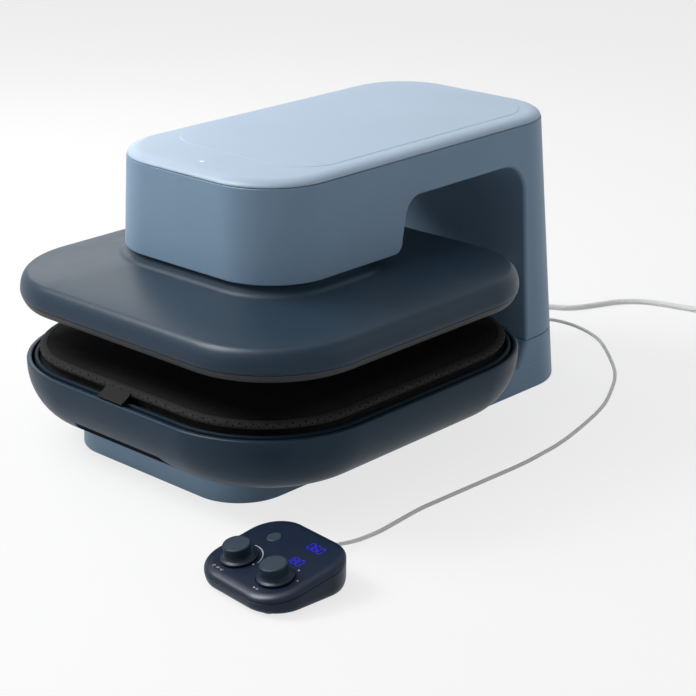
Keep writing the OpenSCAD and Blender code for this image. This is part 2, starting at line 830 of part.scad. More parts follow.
module pod_top() {
    color("#262d38")
        difference() {
            in_pod()
                difference() {
                    stack([on_slope(0, 0.2), on_slope(0.5, 2.2), on_slope(2, 4), on_slope(4.6, 5.4),
                        on_slope(9, 6)]);
                    stack([on_slope(2.4, -1), on_slope(3.4, 1.6), on_slope(8, 3.6)]);
                }
            for (s = [-1, 1]) on_pod(s * dial_x, dial_y) translate([0, 0, -6]) cylinder(d = 8, h = 12);
            on_pod(-dial_x, button_y) translate([0, 0, -6]) cylinder(d = button_d + 0.7, h = 12);
        }
}

module pod_board() {
    color("#2f6b45")
        in_pod() {
            difference() {
                slab([46, 46, -44, 44, 23, 23], 0, 6.5, 8.1);
                rod_y(-9, 9, 36, 60, 10);
            }
            for (x = [-40, 40]) for (y = [-36, 30]) rod(x, y, 3.5, 6.5, 5);
            block(-dial_x - 3, -dial_x + 3, button_y - 3, button_y + 3, 8.1, pod_joint - 1);
        }
}

module display_module() {
    color("#10131a")
        on_pod(20, 19) translate([-15, -21, -6.4]) cube([30, 42, 3.6]);
}

module dial_encoders() {
    color("#5a5e64")
        for (s = [-1, 1])
            difference() {
                on_pod(s * dial_x, dial_y) translate([0, 0, -13.6]) cylinder(d = 13, h = 8.6);
                on_pod(s * dial_x, dial_y) translate([0, 0, -11.5]) cylinder(d = 6 + 2 * run_gap, h = 12);
            }
}

// turned knob: low flared skirt, waist and flat top, on a shaft
module dial() {
    r = dial_d / 2;
    rotate_extrude()
        polygon([[0, -11], [3, -11], [3, 0.5], [16.6, 0.5], [17.3, 1.1], [17.3, 1.8], [16.4, 2.6],
            [14.6, 3.6], [13.4, 5.4], [r - 0.1, 8], [r, dial_h - 0.8], [r - 0.8, dial_h], [0, dial_h]]);
}

module left_dial() {
    color("#36404c")
        on_pod(-dial_x, dial_y) dial();
}

module right_dial() {
    color("#36404c")
        on_pod(dial_x, dial_y) dial();
}

module preset_button() {
    color("#46525e")
        on_pod(-dial_x, button_y) translate([0, 0, -4.6]) {
            cylinder(d = button_d, h = 4.9);
            translate([0, 0, -3]) cylinder(d = 5, h = 3);
        }
}

module pod_gland() {
    color("#1f2022")
        in_pod() translate([-9, pod_half_deep - 5, 9]) rotate([-90, 0, 0])
            rotate_extrude()
                polygon([[0, 0], [4.8, 0], [4.8, 1.9], [4, 1.9], [4, 5.2], [5, 5.2], [5, 7],
                    [2.8, 16.5], [0, 16.5]]);
}

// Cords

module pod_cable() {
    color("#c9c9c9")
        tube(smooth(cable_route, 13), cable_d, 8);
}

module mains_lead() {
    color("#c9c9c9")
        tube(smooth(lead_route, 13), lead_d, 10);
}

module mains_coil() {
    color("#c9c9c9")
        tube(coil_path, lead_d, 6);
}

module coil_tie() {
    x0 = coil_centre[0] - coil_outer - lead_d / 2 - 0.6;
    x1 = coil_centre[0] - coil_inner + lead_d / 2 + 1.4;
    top = coil_low + coil_layer + lead_d / 2 + 0.6;
    color("#2a2b2d")
        difference() {
            block(x0 - 1.2, x1 + 1.2, coil_centre[1] - 7, coil_centre[1] + 7, 0, top + 1.2);
            block(x0, x1, coil_centre[1] - 8, coil_centre[1] + 8, 1.2, top);
        }
}

plug_at = coil_path[len(coil_path) - 1];

module mains_plug() {
    color("#c9c9c9")
        translate(plug_at) {
            translate([0, 0, 0]) rotate([-90, 0, 0]) cylinder(d1 = 9, d2 = 15, h = 16);
            difference() {
                block(-13, 13, 16, 46, -plug_at[2], 11);
                for (x = [-6.4, 6.4]) block(x - 0.75, x + 0.75, 36, 50, -4.6, 1.8);
                translate([0, 36, 6.2]) rotate([-90, 0, 0]) cylinder(d = 4.8, h = 20);
            }
        }
}

module plug_blades() {
    color("#c9a64b")
        translate(plug_at) {
            for (x = [-6.4, 6.4]) block(x - 0.75, x + 0.75, 36, 63, -4.6, 1.8);
            translate([0, 36, 6.2]) rotate([-90, 0, 0]) cylinder(d = 4.8, h = 30);
        }
}

// Drawing

rubber_feet();
base_plate();
base_shell();
base_frame();
platform_posts();
lower_tray();
platform_bezel();
support_plate();
mat_core();
pressing_mat();
mat_tab();
power_board();
hinge_base_leaf();
hinge_pin();
switch_frame();
power_rocker();
lead_gland();
cable_gland();
head_shell();
head_floor();
top_cover();
top_panel();
status_light();
head_frame();
hinge_head_leaf();
gear_frame();
thrust_bearings();
guide_bushings();
drive_motor();
motor_pinion();
nut_gear();
platen_cover();
platen_neck();
platen_skirt();
heat_plate();
heating_element();
thermal_cutout();
insulation_sheet();
standoffs();
carrier_plate();
lead_screw();
guide_rods();
pod_feet();
pod_base();
pod_top();
pod_board();
display_module();
dial_encoders();
left_dial();
right_dial();
preset_button();
pod_gland();
pod_cable();
mains_lead();
mains_coil();
coil_tie();
mains_plug();
plug_blades();
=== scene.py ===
"""Looks of the flat heat press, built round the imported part. Shapes are written in millimetres."""

import json
import math

import bmesh
import bpy
from mathutils import Matrix, Vector


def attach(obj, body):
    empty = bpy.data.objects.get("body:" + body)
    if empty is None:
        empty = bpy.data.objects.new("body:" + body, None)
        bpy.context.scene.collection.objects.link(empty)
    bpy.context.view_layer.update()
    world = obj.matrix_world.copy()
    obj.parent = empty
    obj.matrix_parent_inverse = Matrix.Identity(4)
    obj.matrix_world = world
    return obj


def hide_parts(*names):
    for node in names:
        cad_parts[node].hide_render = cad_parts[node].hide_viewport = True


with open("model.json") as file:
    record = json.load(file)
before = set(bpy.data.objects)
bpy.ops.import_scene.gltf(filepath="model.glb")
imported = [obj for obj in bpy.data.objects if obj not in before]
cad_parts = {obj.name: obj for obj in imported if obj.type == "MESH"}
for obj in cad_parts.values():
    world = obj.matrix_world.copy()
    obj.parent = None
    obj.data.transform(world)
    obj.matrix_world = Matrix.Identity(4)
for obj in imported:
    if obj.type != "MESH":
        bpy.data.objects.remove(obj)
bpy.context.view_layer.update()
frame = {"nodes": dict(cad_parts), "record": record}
nodes = frame["nodes"]
scene = bpy.context.scene
scene.view_settings.view_transform = "Standard"

MM = 0.001
CORNER_STEPS = 24

# Sizes shared with the solids
BODY_HALF, BODY_DRAFT, BODY_BACK = 142.0, 0.054, 348.5
HEAD_FRONT, HEAD_FRONT_LEAN = -140.3, 0.0218
HEAD_CORNER, FOOT_CORNER, STUB_CORNER = 72.0, 56.0, 6.0
FOOT_HALF, FOOT_DRAFT, FOOT_FRONT, FOOT_LEAN = 136.0, 0.04, -191.3, 0.03
WALL = 3.0
SPLIT, SPLIT_GAP = 60.0, 0.3
COLUMN_FRONT, STUB_FLARE = 254.0, 15.0
HEAD_BOTTOM, ARCH_TOP, HEAD_TOP, COVER_TOP = 209.4, 264.0, 305.3, 313.0
SEAM = 0.5
TRAY = (215.0, 215.0, -230.8, 217.4, 126.0, 126.0)
TRAY_RIM, TRAY_FLOOR = 91.6, 31.0
NOTCH_LEFT, NOTCH_RIGHT, NOTCH_BACK, NOTCH_TOP = -84.0, 66.0, -206.0, 46.2
PLATEN = (219.0, 219.0, -227.0, 197.0, 110.0, 98.0)
SHOULDER = (137.0, 137.0, -142.0, 60.0, 72.0, 72.0)
NECK = (122.0, 122.0, -127.0, 44.0, 60.0, 60.0)
HEAT = (186.0, 186.0, -198.0, 168.0, 84.0, 84.0)
HEAT_FACE = 149.0
POD = (58.8, 58.8, -52.8, 52.8, 34.5, 34.5)
POD_AT, POD_TURN = (260.8, -268.8, 0.0), -5.6
POD_JOINT, POD_SLOPE = 20.4, 0.168
DIAL_X, DIAL_Y, DIAL_R, DIAL_H = 26.0, -20.3, 13.3, 15.0
BUTTON_Y = 20.7
LEAD_D, CABLE_D = 7.0, 4.0
HINGE_HALF, REAR_CUT = 64.0, 360.0

# Routes of the two cords and the coil at the end of the mains lead
CABLE_ROUTE = [
    (258.1, -203.9, 9), (258.7, -197.9, 9), (259.6, -187, 8), (260.2, -171, 4.8), (260.4, -154, 2.3),
    (262, -128, 2), (260, -98, 2), (258, -66, 2), (259, -37, 2), (262, 22, 2), (265, 84, 2),
    (264, 119, 2), (261, 157, 2), (252, 205, 2), (237, 263, 2), (220, 304, 2), (189, 359, 2),
    (150, 403, 2), (112, 437, 3), (88, 447, 5.4), (72, 446, 9), (60, 437, 14), (50, 420, 20),
    (43, 397, 23.4), (40.6, 378, 24), (40, 368, 24), (40, 363, 24),
]
LEAD_ROUTE = [
    (-40, 380, 25), (-40, 389, 24.8), (-40.5, 404, 21.6), (-41.6, 424, 12.6), (-41, 444, 5.2),
    (-32, 470, 3.6), (-18, 488, 3.6), (-6, 497, 3.6), (9, 506, 3.6), (21, 521, 3.6), (33, 546, 3.6),
    (45, 571, 3.6), (64, 590, 3.6), (88, 601, 3.6), (110, 606, 3.7), (132, 608.6, 4.6), (154, 609, 5.2),
]
COIL_CENTRE, COIL_OUTER, COIL_PITCH = (178.0, 655.0), 46.0, 8.6
COIL_LOW, COIL_LAYER, COIL_LEG, COIL_CLIMB = 5.2, 8.0, 1.875, 0.5
COIL_INNER = COIL_OUTER - COIL_PITCH * COIL_LEG
COIL_TURNS = 2 * COIL_LEG + COIL_CLIMB
COIL_STEPS = 24


# Camera

def make_camera():
    """Camera solved from the outlines in the photograph."""
    data = bpy.data.cameras.new("camera")
    data.lens, data.sensor_width = 97.36, 36.0
    data.clip_start, data.clip_end = 0.05, 50.0
    cam = bpy.data.objects.new("camera", data)
    scene.collection.objects.link(cam)
    azimuth, elevation = math.radians(42.83), math.radians(20.56)
    right = Vector((math.cos(azimuth), math.sin(azimuth), 0))
    back = Vector((math.sin(azimuth) * math.cos(elevation), -math.cos(azimuth) * math.cos(elevation),
                   math.sin(elevation)))
    turn = Matrix((right, back.cross(right), back)).transposed()
    cam.matrix_world = Matrix.Translation(Vector((1339.3, -1335.6, 794.9)) * MM) @ turn.to_4x4()
    scene.camera = cam


make_camera()


# Materials

def srgb(code):
    values = [int(code[i:i + 2], 16) / 255 for i in (1, 3, 5)]
    return [v / 12.92 if v <= 0.04045 else ((v + 0.055) / 1.055) ** 2.4 for v in values]


def shade(rgb, factor):
    return (*[min(1.0, c * factor) for c in rgb], 1.0)


class Look:
    """A node-based material with a Principled shader and helpers for its textures."""

    def __init__(self, name, code, roughness=0.5, specular=0.5, metallic=0.0):
        self.material = bpy.data.materials.new(name)
        self.material.use_nodes = True
        self.tree = self.material.node_tree
        self.shader = self.tree.nodes["Principled BSDF"]
        self.rgb = srgb(code)
        self.set("Base Color", shade(self.rgb, 1.0))
        self.set("Roughness", roughness)
        self.set("Specular IOR Level", specular)
        self.set("Metallic", metallic)
        self.coords = self.tree.nodes.new("ShaderNodeTexCoord").outputs["Object"]

    def set(self, socket, value):
        self.shader.inputs[socket].default_value = value

    def node(self, kind, inputs=None, **settings):
        """New node with its settings and the values of its inputs."""
        made = self.tree.nodes.new(kind)
        for key, value in settings.items():
            setattr(made, key, value)
        for key, value in (inputs or {}).items():
            made.inputs[key].default_value = value
        return made

    def link(self, out, into):
        self.tree.links.new(out, into)

    def math(self, operation, *terms):
        """Math node on sockets and numbers."""
        made = self.node("ShaderNodeMath", operation=operation)
        for term, socket in zip(terms, made.inputs):
            if isinstance(term, float):
                socket.default_value = term
            else:
                self.link(term, socket)
        return made.outputs[0]

    def noise(self, scale, detail=2.0, stretch=None):
        made = self.node("ShaderNodeTexNoise", {"Scale": scale, "Detail": detail, "Roughness": 0.5})
        coords = self.coords
        if stretch:
            mapping = self.node("ShaderNodeMapping", {"Scale": stretch})
            self.link(coords, mapping.inputs["Vector"])
            coords = mapping.outputs["Vector"]
        self.link(coords, made.inputs["Vector"])
        return made.outputs["Fac"]

    def ramp(self, factor, low, high, start=0.3, end=0.7):
        made = self.node("ShaderNodeValToRGB")
        for stop, position, color in zip(made.color_ramp.elements, (start, end), (low, high)):
            stop.position, stop.color = position, color
        self.link(factor, made.inputs["Fac"])
        return made.outputs["Color"]

    def mottle(self, scale, spread, detail=3.0, stretch=None):
        """Colour that wanders a little around the base colour."""
        factor = self.noise(scale, detail, stretch=stretch)
        self.link(self.ramp(factor, shade(self.rgb, 1 - spread), shade(self.rgb, 1 + spread)),
                  self.shader.inputs["Base Color"])
        return self

    def paint_middle_shade(self, middle, half_x, half_y, start, factor):
        """Painted shade: base colour darkened by a factor away from the border of a flat rectangle."""
        apart = self.node("ShaderNodeSeparateXYZ")
        self.link(self.coords, apart.inputs["Vector"])
        reach = []
        for axis, centre, half in (("X", 0.0, half_x), ("Y", middle, half_y)):
            size = self.math("ABSOLUTE", self.math("SUBTRACT", apart.outputs[axis], centre))
            reach.append(self.math("DIVIDE", size, half))
        most = self.math("MAXIMUM", *reach)
        tint = self.ramp(most, (factor, factor, factor, 1.0), (1.0, 1.0, 1.0, 1.0), start, 1.0)
        mix = self.node("ShaderNodeMix", data_type="RGBA", blend_type="MULTIPLY")
        mix.inputs["Factor"].default_value = 1.0
        socket = self.shader.inputs["Base Color"]
        self.link(socket.links[0].from_socket, mix.inputs["A"])
        self.link(tint, mix.inputs["B"])
        self.link(mix.outputs["Result"], socket)
        return self

    def polish(self, scale, low, high, stretch=None):
        """Roughness that varies between two values."""
        span = {"From Min": 0.3, "From Max": 0.7, "To Min": low, "To Max": high}
        made = self.node("ShaderNodeMapRange", span)
        self.link(self.noise(scale, stretch=stretch), made.inputs["Value"])
        self.link(made.outputs["Result"], self.shader.inputs["Roughness"])
        return self

    def bump(self, height, strength, distance):
        made = self.node("ShaderNodeBump", {"Strength": strength, "Distance": distance})
        self.link(height, made.inputs["Height"])
        self.link(made.outputs["Normal"], self.shader.inputs["Normal"])
        return self

    def grain(self, scale, strength, distance=0.0002, stretch=None):
        return self.bump(self.noise(scale, stretch=stretch), strength, distance)

    def sheen(self, weight, rough):
        self.set("Sheen Weight", weight)
        self.set("Sheen Roughness", rough)
        return self

    def glow(self, strength):
        self.set("Emission Color", shade(self.rgb, 1.0))
        self.set("Emission Strength", strength)
        return self


def plastic(name, code, roughness, specular=0.4, grain=0.05):
    look = Look(name, code, roughness, specular)
    look.mottle(9.0, 0.02).polish(60.0, roughness - 0.015, roughness + 0.015)
    return look.grain(1400.0, grain, 0.0001).material


def metal(name, code, roughness, stretch=(1.0, 12.0, 12.0), scale=90.0):
    look = Look(name, code, roughness, 0.5, 1.0)
    look.mottle(scale, 0.06, stretch=stretch)
    look.polish(scale, roughness - 0.08, roughness + 0.1, stretch=stretch)
    return look.grain(scale * 6, 0.1, 0.0001, stretch=stretch).material


def woven(name, code, thread, roughness=0.85, sheen=0.25, spread=0.25):
    """Plain weave: two crossed waves of threads one thread apart."""
    look = Look(name, code, roughness, 0.2)
    waves = []
    for axis in ("X", "Y"):
        density = {"Scale": math.pi / (20 * thread * MM), "Distortion": 0.6, "Detail": 1.0}
        wave = look.node("ShaderNodeTexWave", density, wave_type="BANDS", bands_direction=axis)
        look.link(look.coords, wave.inputs["Vector"])
        waves.append(wave.outputs["Fac"])
    product = look.math("MULTIPLY", *waves)
    low, high = shade(look.rgb, 1 - spread), shade(look.rgb, 1 + spread)
    look.link(look.ramp(product, low, high, 0.1, 0.7), look.shader.inputs["Base Color"])
    look.bump(product, 0.5, 0.0003)
    return look.sheen(sheen, 0.5).material


def felted(name, code, scale, strength, sheen, spread=0.3, specular=0.15, lumps=0.0, painted_shade=None):
    """Matted fibres, with wider lumps of the padding under them and painted shade towards the middle where
    asked.
    """
    look = Look(name, code, 0.92, specular)
    look.mottle(scale, spread, 5.0)
    # Painted shade: where asked, the base colour darkens towards the middle of a flat rectangle.
    if painted_shade:
        look.paint_middle_shade(*painted_shade)
    height = look.noise(scale * 2, 5.0)
    if lumps:
        height = look.math("MULTIPLY_ADD", look.noise(70.0, 3.0), lumps, height)
    return look.bump(height, strength, 0.0006).sheen(sheen, 0.6).material


# Painted shade in the middle of the mat, where the upper platen shades it: centre and half sizes in metres,
# where the change starts, and its factor
MAT_PAINTED_SHADE = (-0.0067, 0.2, 0.21, 0.8, 0.2)
materials = {
    "blue_plastic": plastic("blue_plastic", "#7993ab", 0.42, 0.2),
    "pale_blue_plastic": plastic("pale_blue_plastic", "#abbed2", 0.46, 0.2),
    "navy_plastic": plastic("navy_plastic", "#293a49", 0.4, 0.14),
    "grey_plastic": plastic("grey_plastic", "#383b3e", 0.45, 0.12),
    "dial_plastic": plastic("dial_plastic", "#34424f", 0.45, 0.12),
    "black_plastic": plastic("black_plastic", "#1c1d1f", 0.45, 0.25),
    # The mat's fabric darkens towards its middle: painted shade where the upper platen shades it.
    "mat_fabric": felted("mat_fabric", "#2a2a2b", 700.0, 0.5, 0.0, 0.5, 0.03, 4.0, MAT_PAINTED_SHADE),
    "foam": felted("foam", "#b9b2a6", 160.0, 0.4, 0.1),
    "felt": felted("felt", "#d9d4c4", 120.0, 0.5, 0.2),
    "rubber": plastic("rubber", "#222325", 0.75, 0.25, 0.3),
    "cord_grey": plastic("cord_grey", "#e4e4e3", 0.5, 0.3, 0.05),
    "tie_fabric": woven("tie_fabric", "#2a2b2d", 0.7),
    "steel": metal("steel", "#a4a9ae", 0.36),
    "cast_aluminium": metal("cast_aluminium", "#b9bcbf", 0.42, (1.0, 1.0, 1.0), 140.0),
    "motor_paint": plastic("motor_paint", "#3a3d42", 0.35),
    "brass": metal("brass", "#c3a45a", 0.34),
    "board": Look("circuit_board", "#2f6b45", 0.45).mottle(220.0, 0.2).grain(600.0, 0.2).material,
    "ceramic": felted("ceramic", "#d8d2c2", 240.0, 0.2, 0.0, 0.08),
    "lens": Look("lens", "#cdeee2", 0.2).mottle(400.0, 0.05).glow(0.35).material,
}
slot_of = {entry["node"]: entry["material_slot"] for entry in frame["record"]["subparts"]}
for name, obj in nodes.items():
    obj.data.materials.clear()
    obj.data.materials.append(materials[slot_of[name]])


# Mesh helpers

def arc_points(centre, r, degrees):
    angles = [math.radians(a) for a in degrees]
    return [(centre[0] + r * math.cos(a), centre[1] + r * math.sin(a)) for a in angles]


def outline(shape, inset=0.0, steps=CORNER_STEPS):
    """Points of a rounded plan outline, each pair of corners with its own half width and radius."""
    wf, wb, yf, yb, rf, rb = shape
    points = []
    for quarter in range(4):
        back = quarter < 2
        r = max((rb if back else rf) - inset, 2.0)
        w = (wb if back else wf) - inset
        cx = w - r if quarter in (0, 3) else r - w
        cy = yb - inset - r if back else yf + inset + r
        points += arc_points((cx, cy), r, [quarter * 90 + i * 90 / steps for i in range(steps + 1)])
    return points


def ring(shape, inset, z, slope=0.0):
    return [Vector((x, y, z + slope * y)) for x, y in outline(shape, inset)]


def rings_at(shape, levels, base=0.0, slope=0.0):
    """Rings of one outline at pairs of inset and height."""
    return [ring(shape, inset, base + z, slope) for inset, z in levels]


def catmull(a, b, c, d, t):
    """Centripetal curve between b and c."""
    t0, t1 = 0.0, max((b - a).length, 1e-6) ** 0.5
    t2 = t1 + max((c - b).length, 1e-6) ** 0.5
    t3 = t2 + max((d - c).length, 1e-6) ** 0.5
    s = t1 + (t2 - t1) * t
    a1 = a.lerp(b, (s - t0) / (t1 - t0))
    a2 = b.lerp(c, (s - t1) / (t2 - t1))
    a3 = c.lerp(d, (s - t2) / (t3 - t2))
    b1 = a1.lerp(a2, (s - t0) / (t2 - t0))
    b2 = a2.lerp(a3, (s - t1) / (t3 - t1))
    return b1.lerp(b2, (s - t1) / (t2 - t1))


def smoothed(rings, parts):
    """More rings on smooth curves through the given ones."""
    result = []
    last = len(rings) - 1
    for k in range(last):
        before = rings[k - 1] if k > 0 else [2 * p - q for p, q in zip(rings[0], rings[1])]
        after = rings[k + 2] if k + 2 <= last else [2 * p - q for p, q in zip(rings[last], rings[last - 1])]
        for j in range(parts):
            result.append([catmull(a, b, c, d, j / parts)
                           for a, b, c, d in zip(before, rings[k], rings[k + 1], after)])
    return result + [rings[last]]


def mesh_object(name, points, faces, place=None):
    mesh = bpy.data.meshes.new(name)
    matrix = place or Matrix.Identity(4)
    mesh.from_pydata([matrix @ Vector(p) * MM for p in points], [], faces)
    bm = bmesh.new()
    bm.from_mesh(mesh)
    bmesh.ops.recalc_face_normals(bm, faces=bm.faces)
    bm.to_mesh(mesh)
    bm.free()
    obj = bpy.data.objects.new(name, mesh)
    scene.collection.objects.link(obj)
    return obj


def skins(name, chains, wrap=False, place=None):
    """Closed skins in one mesh, each over a chain of rings, capped at both ends or joined end to end."""
    points, faces = [], []
    for rings in chains:
        start, n, count = len(points), len(rings[0]), len(rings)
        points += [p for r in rings for p in r]
        for k in range(count if wrap else count - 1):
            a, b = start + k * n, start + (k + 1) % count * n
            faces += [(a + i, a + (i + 1) % n, b + (i + 1) % n, b + i) for i in range(n)]
        if not wrap:
            faces.append(tuple(range(start, start + n))[::-1])
            faces.append(tuple(range(start + (count - 1) * n, start + count * n)))
    return mesh_object(name, points, faces, place)


def loft(name, rings, wrap=False, place=None):
    return skins(name, [rings], wrap, place)


def lathe(name, profile, place=None, centre=(0, 0), base=0.0, sides=64):
    """Form turned about Z from pairs of radius and height."""
    turn = [360 * i / sides for i in range(sides)]
    rings = [[Vector((x, y, base + z)) for x, y in arc_points(centre, r, turn)] for r, z in profile]
    return loft(name, rings, place=place)


def studs(name, places, profile, sides=12, socket=0):
    """Small turned bodies in one mesh, each at a point and a direction; the last rings may be hexagons."""
    angles = [2 * math.pi * i / sides for i in range(sides)]
    sixth = math.pi / 3
    chains = []
    for at, out in places:
        turn = Vector(out).to_track_quat("Z", "Y").to_matrix()
        rings = []
        for k, (r, level) in enumerate(profile):
            hexagon = k >= len(profile) - socket
            wide = [r / math.cos((a + sixth / 2) % sixth - sixth / 2) if hexagon else r for a in angles]
            rings.append([Vector(at) + turn @ Vector((w * math.cos(a), w * math.sin(a), level))
                          for w, a in zip(wide, angles)])
        chains.append(rings)
    return skins(name, chains)


def plates(name, shapes, place, thick=0.14):
    """Thin printed or lit marks: flat shapes that stand a little proud of a face."""
    chains = [[[Vector((x, y, z)) for x, y in shape] for z in (-0.05, thick)] for shape in shapes]
    return skins(name, chains, place=place)


def block(name, low, high):
    """Box between two corners, for cutting other meshes."""
    points = [(x, y, z) for x in (low[0], high[0]) for y in (low[1], high[1]) for z in (low[2], high[2])]
    faces = [(0, 1, 3, 2), (4, 6, 7, 5), (0, 4, 5, 1), (2, 3, 7, 6), (0, 2, 6, 4), (1, 5, 7, 3)]
    return mesh_object(name, points, faces)


def extruded(name, profile, x0, x1):
    """Solid with a profile of (y, z) points, from x0 to x1."""
    return loft(name, [[Vector((x, y, z)) for y, z in profile] for x in (x0, x1)])


def bake(obj):
    """Applies the modifiers of an object to its mesh."""
    bpy.context.view_layer.update()
    graph = bpy.context.evaluated_depsgraph_get()
    mesh = bpy.data.meshes.new_from_object(obj.evaluated_get(graph))
    obj.modifiers.clear()
    old = obj.data
    obj.data = mesh
    bpy.data.meshes.remove(old)


def combine(obj, other, operation):
    made = obj.modifiers.new("cut", "BOOLEAN")
    made.operation, made.object, made.solver = operation, other, "EXACT"
    bake(obj)
    bpy.data.objects.remove(other)


def bevelled(obj, width):
    made = obj.modifiers.new("edges", "BEVEL")
    made.width, made.segments = width * MM, 2
    made.limit_method, made.angle_limit = "ANGLE", math.radians(30)


def shaded(obj, angle=38.0, weighted=True):
    """Smooth shading, with edges sharper than an angle kept."""
    obj.data.shade_smooth()
    obj.data.set_sharp_from_angle(angle=math.radians(angle))
    if weighted:
        made = obj.modifiers.new("normals", "WEIGHTED_NORMAL")
        made.mode, made.weight, made.keep_sharp = "FACE_AREA", 50, True
    return obj


def piece(obj, body, slot, *replaced, material=None):
    """Gives a finished shape its material, taken from its slot unless one is given, puts it under its body
    and hides the solids it replaces.
    """
    obj.data.materials.clear()
    obj.data.materials.append(material or materials[slot])
    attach(obj, body)
    if replaced:
        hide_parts(*replaced)
    return obj


# Profile of a screw head with a hexagon socket: radius and height
SCREW = [(3.2, -1.0), (3.2, 0.3), (3.1, 0.6), (2.7, 1.0), (2.1, 1.2), (1.6, 1.2), (1.5, 1.1), (1.5, 0.1),
         (1.2, 0.0)]


def screw_heads(name, places, z, body):
    """Socket screws that face down."""
    heads = studs(name, [((x, y, z), (0, 0, -1)) for x, y in places], SCREW, 24, 3)
    piece(shaded(heads), body, "steel")


# Edge bevels of the solids that show as they are
SOFT_EDGES = {"hinge_base_leaf": 0.6, "hinge_head_leaf": 0.6, "switch_frame": 0.5, "power_rocker": 0.4,
              "rubber_feet": 0.9, "pod_feet": 0.4, "plug_blades": 0.35, "base_plate": 0.4, "drive_motor": 0.6,
              "head_frame": 0.4, "gear_frame": 0.4, "carrier_plate": 0.5}
for name, obj in nodes.items():
    if name in SOFT_EDGES:
        bevelled(obj, SOFT_EDGES[name])
    shaded(obj, 32, name in SOFT_EDGES)


# Cords

def coil_point(t):
    """Point of the coil after t turns: in on the lower layer, up, and out again on the upper one."""
    r = COIL_OUTER - COIL_PITCH * (min(t, COIL_LEG) - max(0.0, t - COIL_LEG - COIL_CLIMB))
    s = max(0.0, min(1.0, (t - COIL_LEG) / COIL_CLIMB))
    a = 2 * math.pi * t
    return (COIL_CENTRE[0] + r * math.sin(a), COIL_CENTRE[1] - r * math.cos(a),
            COIL_LOW + COIL_LAYER * s * s * (3 - 2 * s))


def cord_curve(name, points, diameter):
    """Round cord on one smooth spline through its points."""
    curve = bpy.data.curves.new(name, "CURVE")
    curve.dimensions = "3D"
    curve.resolution_u = 8
    curve.bevel_depth, curve.bevel_resolution = diameter / 2 * MM, 5
    curve.use_fill_caps = True
    spline = curve.splines.new("BEZIER")
    spline.bezier_points.add(len(points) - 1)
    path = [Vector(p) * MM for p in points]
    for i, bezier in enumerate(spline.bezier_points):
        before = path[i - 1] if i else 2 * path[0] - path[1]
        after = path[i + 1] if i + 1 < len(path) else 2 * path[-1] - path[-2]
        reach = (after - before) / 6
        bezier.co = path[i]
        bezier.handle_left_type = bezier.handle_right_type = "FREE"
        bezier.handle_left, bezier.handle_right = path[i] - reach, path[i] + reach
    obj = bpy.data.objects.new(name, curve)
    scene.collection.objects.link(obj)
    return obj


coil_points = [coil_point(i / COIL_STEPS) for i in range(round(COIL_STEPS * COIL_TURNS) + 1)]
coil_end = coil_points[-1]
plug_at = (coil_end[0], coil_end[1] + 32, coil_end[2])
tail_points = [(coil_end[0], coil_end[1] + 8 * k, coil_end[2]) for k in (1, 2, 3, 4)]

pod_cable = piece(cord_curve("control_cable", CABLE_ROUTE, CABLE_D), "base", "cord_grey", "pod_cable")
mains = piece(cord_curve("mains_cord", LEAD_ROUTE + [(170, 609, 5.2)] + coil_points + tail_points, LEAD_D),
              "base", "cord_grey", "mains_lead", "mains_coil")


# Plug, tie and strain reliefs

def rounded_bar(w, h, r, y, centre=(0.0, 0.0), steps=6):
    """Rounded rectangle across Y at one place along it."""
    x, z = centre
    points = []
    for quarter in range(4):
        cx = w - r if quarter in (0, 3) else r - w
        cz = h - r if quarter < 2 else r - h
        degrees = [quarter * 90 + i * 90 / steps for i in range(steps + 1)]
        points += [Vector((px, y, pz)) for px, pz in arc_points((x + cx, z + cz), r, degrees)]
    return points


def make_plug():
    """Moulded plug body with a ribbed neck and grooved sides; a section is half sizes, corner and place."""
    sections = [(r, r, r * 0.98, y) for y, r in ((0.0, 4.3), (0.6, 4.8))]
    for k in range(4):
        y, r = 1.6 + 3.4 * k, 4.9 + 0.6 * k
        sections += [(r, r, r * 0.95, y + step) for step in (0.0, 2.0)]
        sections += [(r - 0.8, r - 0.8, r * 0.85, y + step) for step in (2.4, 3.0)]
    sections += [(7.4, 7.4, 6.0, 16.0), (11.0, 9.0, 5.0, 17.2), (12.6, 10.4, 4.6, 19.0),
                 (13.0, 10.9, 4.4, 23.0)]
    groove = ((13.0, 4.4, 0.0), (12.2, 4.2, 0.8), (12.2, 4.2, 1.8), (13.0, 4.4, 2.6))
    for y in (25.0, 29.0, 33.0):
        sections += [(w, 10.9, r, y + step) for w, r, step in groove]
    sections += [(13.0, 10.9, 4.4, 44.6), (12.4, 10.4, 4.0, 45.7), (11.6, 9.8, 3.6, 46.0)]
    rings = [rounded_bar(*section) for section in sections]
    plug = loft("plug_body", rings, place=Matrix.Translation(plug_at))
    return piece(shaded(plug), "base", "cord_grey", "mains_plug")


def make_tie():
    """Hook-and-loop strap closed round the coil."""
    x0 = COIL_CENTRE[0] - COIL_OUTER - LEAD_D / 2 - 1.8
    x1 = COIL_CENTRE[0] - COIL_INNER + LEAD_D / 2 + 2.6
    top = COIL_LOW + COIL_LAYER + LEAD_D / 2 + 1.8
    thick, corner, half = 1.1, 5.0, 6.7
    rings = []
    for inset, side in ((0, -half), (0, half), (thick, half), (thick, -half)):
        size = ((x1 - x0) / 2 - inset, top / 2 - inset, corner - inset)
        rings.append(rounded_bar(*size, COIL_CENTRE[1] + side, ((x0 + x1) / 2, top / 2), 12))
    return piece(shaded(loft("lead_tie", rings, wrap=True)), "base", "tie_fabric", "coil_tie")


def make_relief(name, base, flange, ribs, node, place=None):
    """Strain relief turned about Y: a flange and a ribbed taper."""
    x, y, z = base
    turn = range(0, 360, 9)
    rings = [[Vector((px, y + at, pz)) for px, pz in arc_points((x, z), r, turn)] for r, at in flange + ribs]
    piece(shaded(loft(name, rings, place=place), 50), "base", "rubber", node)


